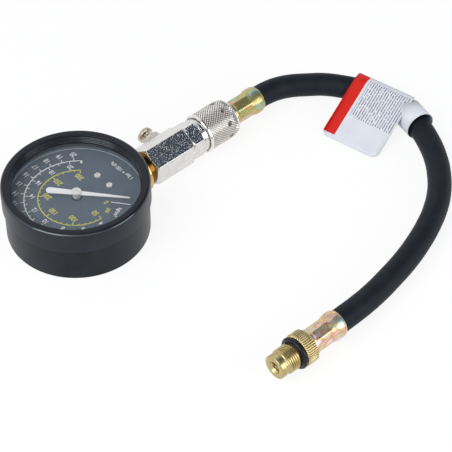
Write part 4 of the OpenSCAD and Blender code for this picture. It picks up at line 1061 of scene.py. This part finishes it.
sleeve_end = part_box("sleeve_spring")[1].y
coil_spring("sleeve_coil", "sleeve_spring", Matrix.Translation((0, sleeve_end, STEM_Z)) @ ALONG_STEM, "gauge",
            axis=(0, 1, 0), wire=0.35, turns=4)

relief_lo, relief_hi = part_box("relief_spring")
relief_place = Matrix.Translation((relief_lo.x, (relief_lo.y + relief_hi.y) / 2, (relief_lo.z + relief_hi.z) / 2))
coil_spring("relief_coil", "relief_spring", relief_place @ Matrix.Rotation(math.pi / 2, 4, "Y"), "gauge",
            axis=(1, 0, 0), wire=0.22, turns=3)

core_coil = coil_spring("core_coil", "valve_core_spring", stem_place("valve_core_spring"), "hose",
                        axis=(0, 1, 0), wire=0.22, turns=4)

# %% Curled tube
tube_lo, tube_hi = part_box("bourdon_tube")
TUBE_T = 2.6
TUBE_R = -tube_lo.x / MM - TUBE_T / 2
TUBE_H = (tube_hi.z - tube_lo.z) / MM
TUBE_TIP, TUBE_ROOT = 10.0, 260.4
TUBE_STEPS = 100
tube_edge = TUBE_T / 2
tube_outline = (arc(TUBE_R, TUBE_H / 2 - tube_edge, tube_edge, 0, 180, 8)
                + arc(TUBE_R, tube_edge - TUBE_H / 2, tube_edge, 180, 360, 8))
tube_bm = bmesh.new()
swung(tube_bm, [(r * MM, 0, z * MM) for r, z in tube_outline], math.radians(TUBE_ROOT - TUBE_TIP), TUBE_STEPS)
bmesh.ops.recalc_face_normals(tube_bm, faces=tube_bm.faces)
tube_z = (tube_lo.z + tube_hi.z) / 2
tube_place = Matrix.Translation((0, 0, tube_z)) @ Matrix.Rotation(math.radians(TUBE_TIP), 4, "Z")
curled_tube = settle(tube_bm, "curled_tube", tube_place, movement_brass, None)
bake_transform(curled_tube)
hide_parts("bourdon_tube")

# %% Hose built
print("hose built")

# %% [markdown]
# ## The printed dial
# The dial carries two scales, screen printed in white and yellow. Print is a thin layer of ink, so each mark
# is a very flat solid on the plate: a spun strip for an arc, a small box for a tick, and type for numbers.

# %% Dial marks
DIAL_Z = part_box("pointer_hub")[0].z / MM - 1.5
INK = 0.04
BOLD = 0.05
NARROW = 0.78
ZERO = -135.2
SWEEP = 270.0
REST_LINE = math.radians(-143)
REST_FROM, REST_TO, REST_W = 18.3, 28.5, 0.5
FULL_PSI = 300.0
BAR_PSI = 14.504
KG_PSI = 14.223
ARC_W = 0.55
TICK_W = 0.45
LONG_TICK = 2.1


def dial_angle(psi):
    """Angle of a pressure on the dial, in radians."""
    return math.radians(ZERO - SWEEP * psi / FULL_PSI)


def ink_arc(bm, r, width, start, end, steps=72):
    """A thin printed arc between two angles."""
    low, high = DIAL_Z * MM, (DIAL_Z + INK) * MM
    corners = [((r + side) * MM * math.cos(start), (r + side) * MM * math.sin(start), z)
               for side, z in ((-width / 2, low), (width / 2, low), (width / 2, high), (-width / 2, high))]
    swung(bm, corners, end - start, steps)


def ink_tick(bm, inner, outer, angle, width):
    """A printed tick between two radii."""
    middle = Matrix.Rotation(angle, 4, "Z") @ Matrix.Translation(
        ((inner + outer) / 2 * MM, 0, (DIAL_Z + INK / 2) * MM))
    size = Matrix.Diagonal(((outer - inner) * MM, width * MM, INK * MM, 1))
    bmesh.ops.create_cube(bm, size=1.0, matrix=middle @ size)


def ink_words(bm, words, size, x, y, turn=0.0):
    """Narrow printed type centred on a point of the dial, upright or turned."""
    letters = bpy.data.curves.new("type", "FONT")
    letters.body = words
    letters.size = size * MM
    letters.align_x = letters.align_y = "CENTER"
    letters.extrude = INK / 2 * MM
    letters.offset = BOLD * MM
    letters.resolution_u = 4
    holder = placed("type", letters)
    bpy.context.view_layer.update()
    mesh = bpy.data.meshes.new_from_object(holder.evaluated_get(bpy.context.evaluated_depsgraph_get()))
    spot = Matrix.Translation((x * MM, y * MM, (DIAL_Z + INK / 2) * MM))
    mesh.transform(spot @ Matrix.Rotation(turn, 4, "Z") @ Matrix.Diagonal((NARROW, 1, 1, 1)))
    bm.from_mesh(mesh)
    bpy.data.objects.remove(holder)
    bpy.data.curves.remove(letters)
    bpy.data.meshes.remove(mesh)


def ink_number(bm, words, size, r, angle):
    """Upright type with its middle on a circle."""
    ink_words(bm, words, size, r * math.cos(angle), r * math.sin(angle))


def ink_round(bm, words, size, r, angle):
    """Printed type that stands on a circle, with its head outwards."""
    ink_words(bm, words, size, r * math.cos(angle), r * math.sin(angle), angle - math.pi / 2)


print("dial face at", round(DIAL_Z, 2), "mm")

# %% [markdown]
# The white print has the outer arc, a tick for each bar outside it and for each half kilogram per square
# centimetre inside it, and both rows of numbers. The long tick by itself is where the pointer rests.

# %% White print
WHITE_R = 27.4
BAR_FIRST, BAR_LAST = 4, 20
BAR_R, BAR_TYPE = 32.2, 4.3
KG_FIRST, KG_LAST = 4, 21
KG_R, KG_TYPE = 23.0, 4.1
KG_MIDDLE_TICK, KG_SHORT_TICK, KG_TICK_W = 1.7, 0.9, 0.4
UNIT_TURN, UNIT_TYPE = math.radians(-159), 3.2
KG_UNIT_R, BAR_UNIT_R = 24.2, 31.6
white_bm = bmesh.new()
ink_arc(white_bm, WHITE_R, ARC_W, dial_angle(FULL_PSI), dial_angle(BAR_FIRST * BAR_PSI))
ink_tick(white_bm, WHITE_R - LONG_TICK, WHITE_R + 0.27, dial_angle(FULL_PSI), ARC_W)
ink_tick(white_bm, REST_FROM, REST_TO, REST_LINE, REST_W)
for bar in range(BAR_FIRST, BAR_LAST + 1):
    angle = dial_angle(bar * BAR_PSI)
    ink_tick(white_bm, WHITE_R, WHITE_R + LONG_TICK, angle, TICK_W)
    ink_number(white_bm, str(bar), BAR_TYPE, BAR_R, angle)
for half in range(2 * KG_FIRST, 2 * KG_LAST + 1):
    angle = dial_angle(half / 2 * KG_PSI)
    reach = LONG_TICK if half % 4 == 0 else KG_MIDDLE_TICK if half % 2 == 0 else KG_SHORT_TICK
    ink_tick(white_bm, WHITE_R - reach, WHITE_R, angle, KG_TICK_W)
    if half % 4 == 0:
        ink_number(white_bm, str(half // 2), KG_TYPE, KG_R, angle)
ink_round(white_bm, "kg/cm\u00b2", UNIT_TYPE, KG_UNIT_R, UNIT_TURN)
ink_round(white_bm, "bar", UNIT_TYPE, BAR_UNIT_R, UNIT_TURN)
ink_words(white_bm, "1 bar = 100 kPa", 3.4, -0.7, -30.3)
white_print = settle(white_bm, "white_print", IN_PLACE, white_paint, "gauge")

# %% [markdown]
# The yellow print is the inner scale in pounds per square inch, with a tick every ten.

# %% Yellow print
YELLOW_R = 20.2
FIRST_PSI, TICK_PSI, NUMBER_PSI = 50, 10, 50
PSI_R, PSI_TYPE = 15.3, 4.4
PSI_SHORT_TICK = 1.0
yellow_bm = bmesh.new()
ink_arc(yellow_bm, YELLOW_R, ARC_W, dial_angle(FULL_PSI), dial_angle(FIRST_PSI))
for psi in range(FIRST_PSI, int(FULL_PSI) + 1, TICK_PSI):
    reach = LONG_TICK if psi % NUMBER_PSI == 0 else PSI_SHORT_TICK
    ink_tick(yellow_bm, YELLOW_R - reach, YELLOW_R, dial_angle(psi), TICK_W)
for psi in range(FIRST_PSI, int(FULL_PSI) + 1, NUMBER_PSI):
    ink_number(yellow_bm, str(psi), PSI_TYPE, PSI_R, dial_angle(psi))
ink_number(yellow_bm, "0", 4.0, 16.0, math.radians(-145))
ink_round(yellow_bm, "psi", 3.8, 19.4, math.radians(-162.5))
settle(yellow_bm, "yellow_print", IN_PLACE, yellow_ink, "gauge")

# %% [markdown]
# Half way up the turned-up edge of the dial runs a fine white ring, which shows as a thin pale line at the back.

# %% Rim bead
RIM_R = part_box("dial_plate")[1].x / MM - 0.8
BEAD_Z = DIAL_Z + 1.5
bead_outline = [(RIM_R + 0.1, BEAD_Z - 0.08), (RIM_R - 0.08, BEAD_Z - 0.04), (RIM_R - 0.08, BEAD_Z + 0.04),
                (RIM_R + 0.1, BEAD_Z + 0.08)]
rim_bead = settle(turned(bead_outline, 96), "rim_bead", IN_PLACE, white_paint, "gauge")
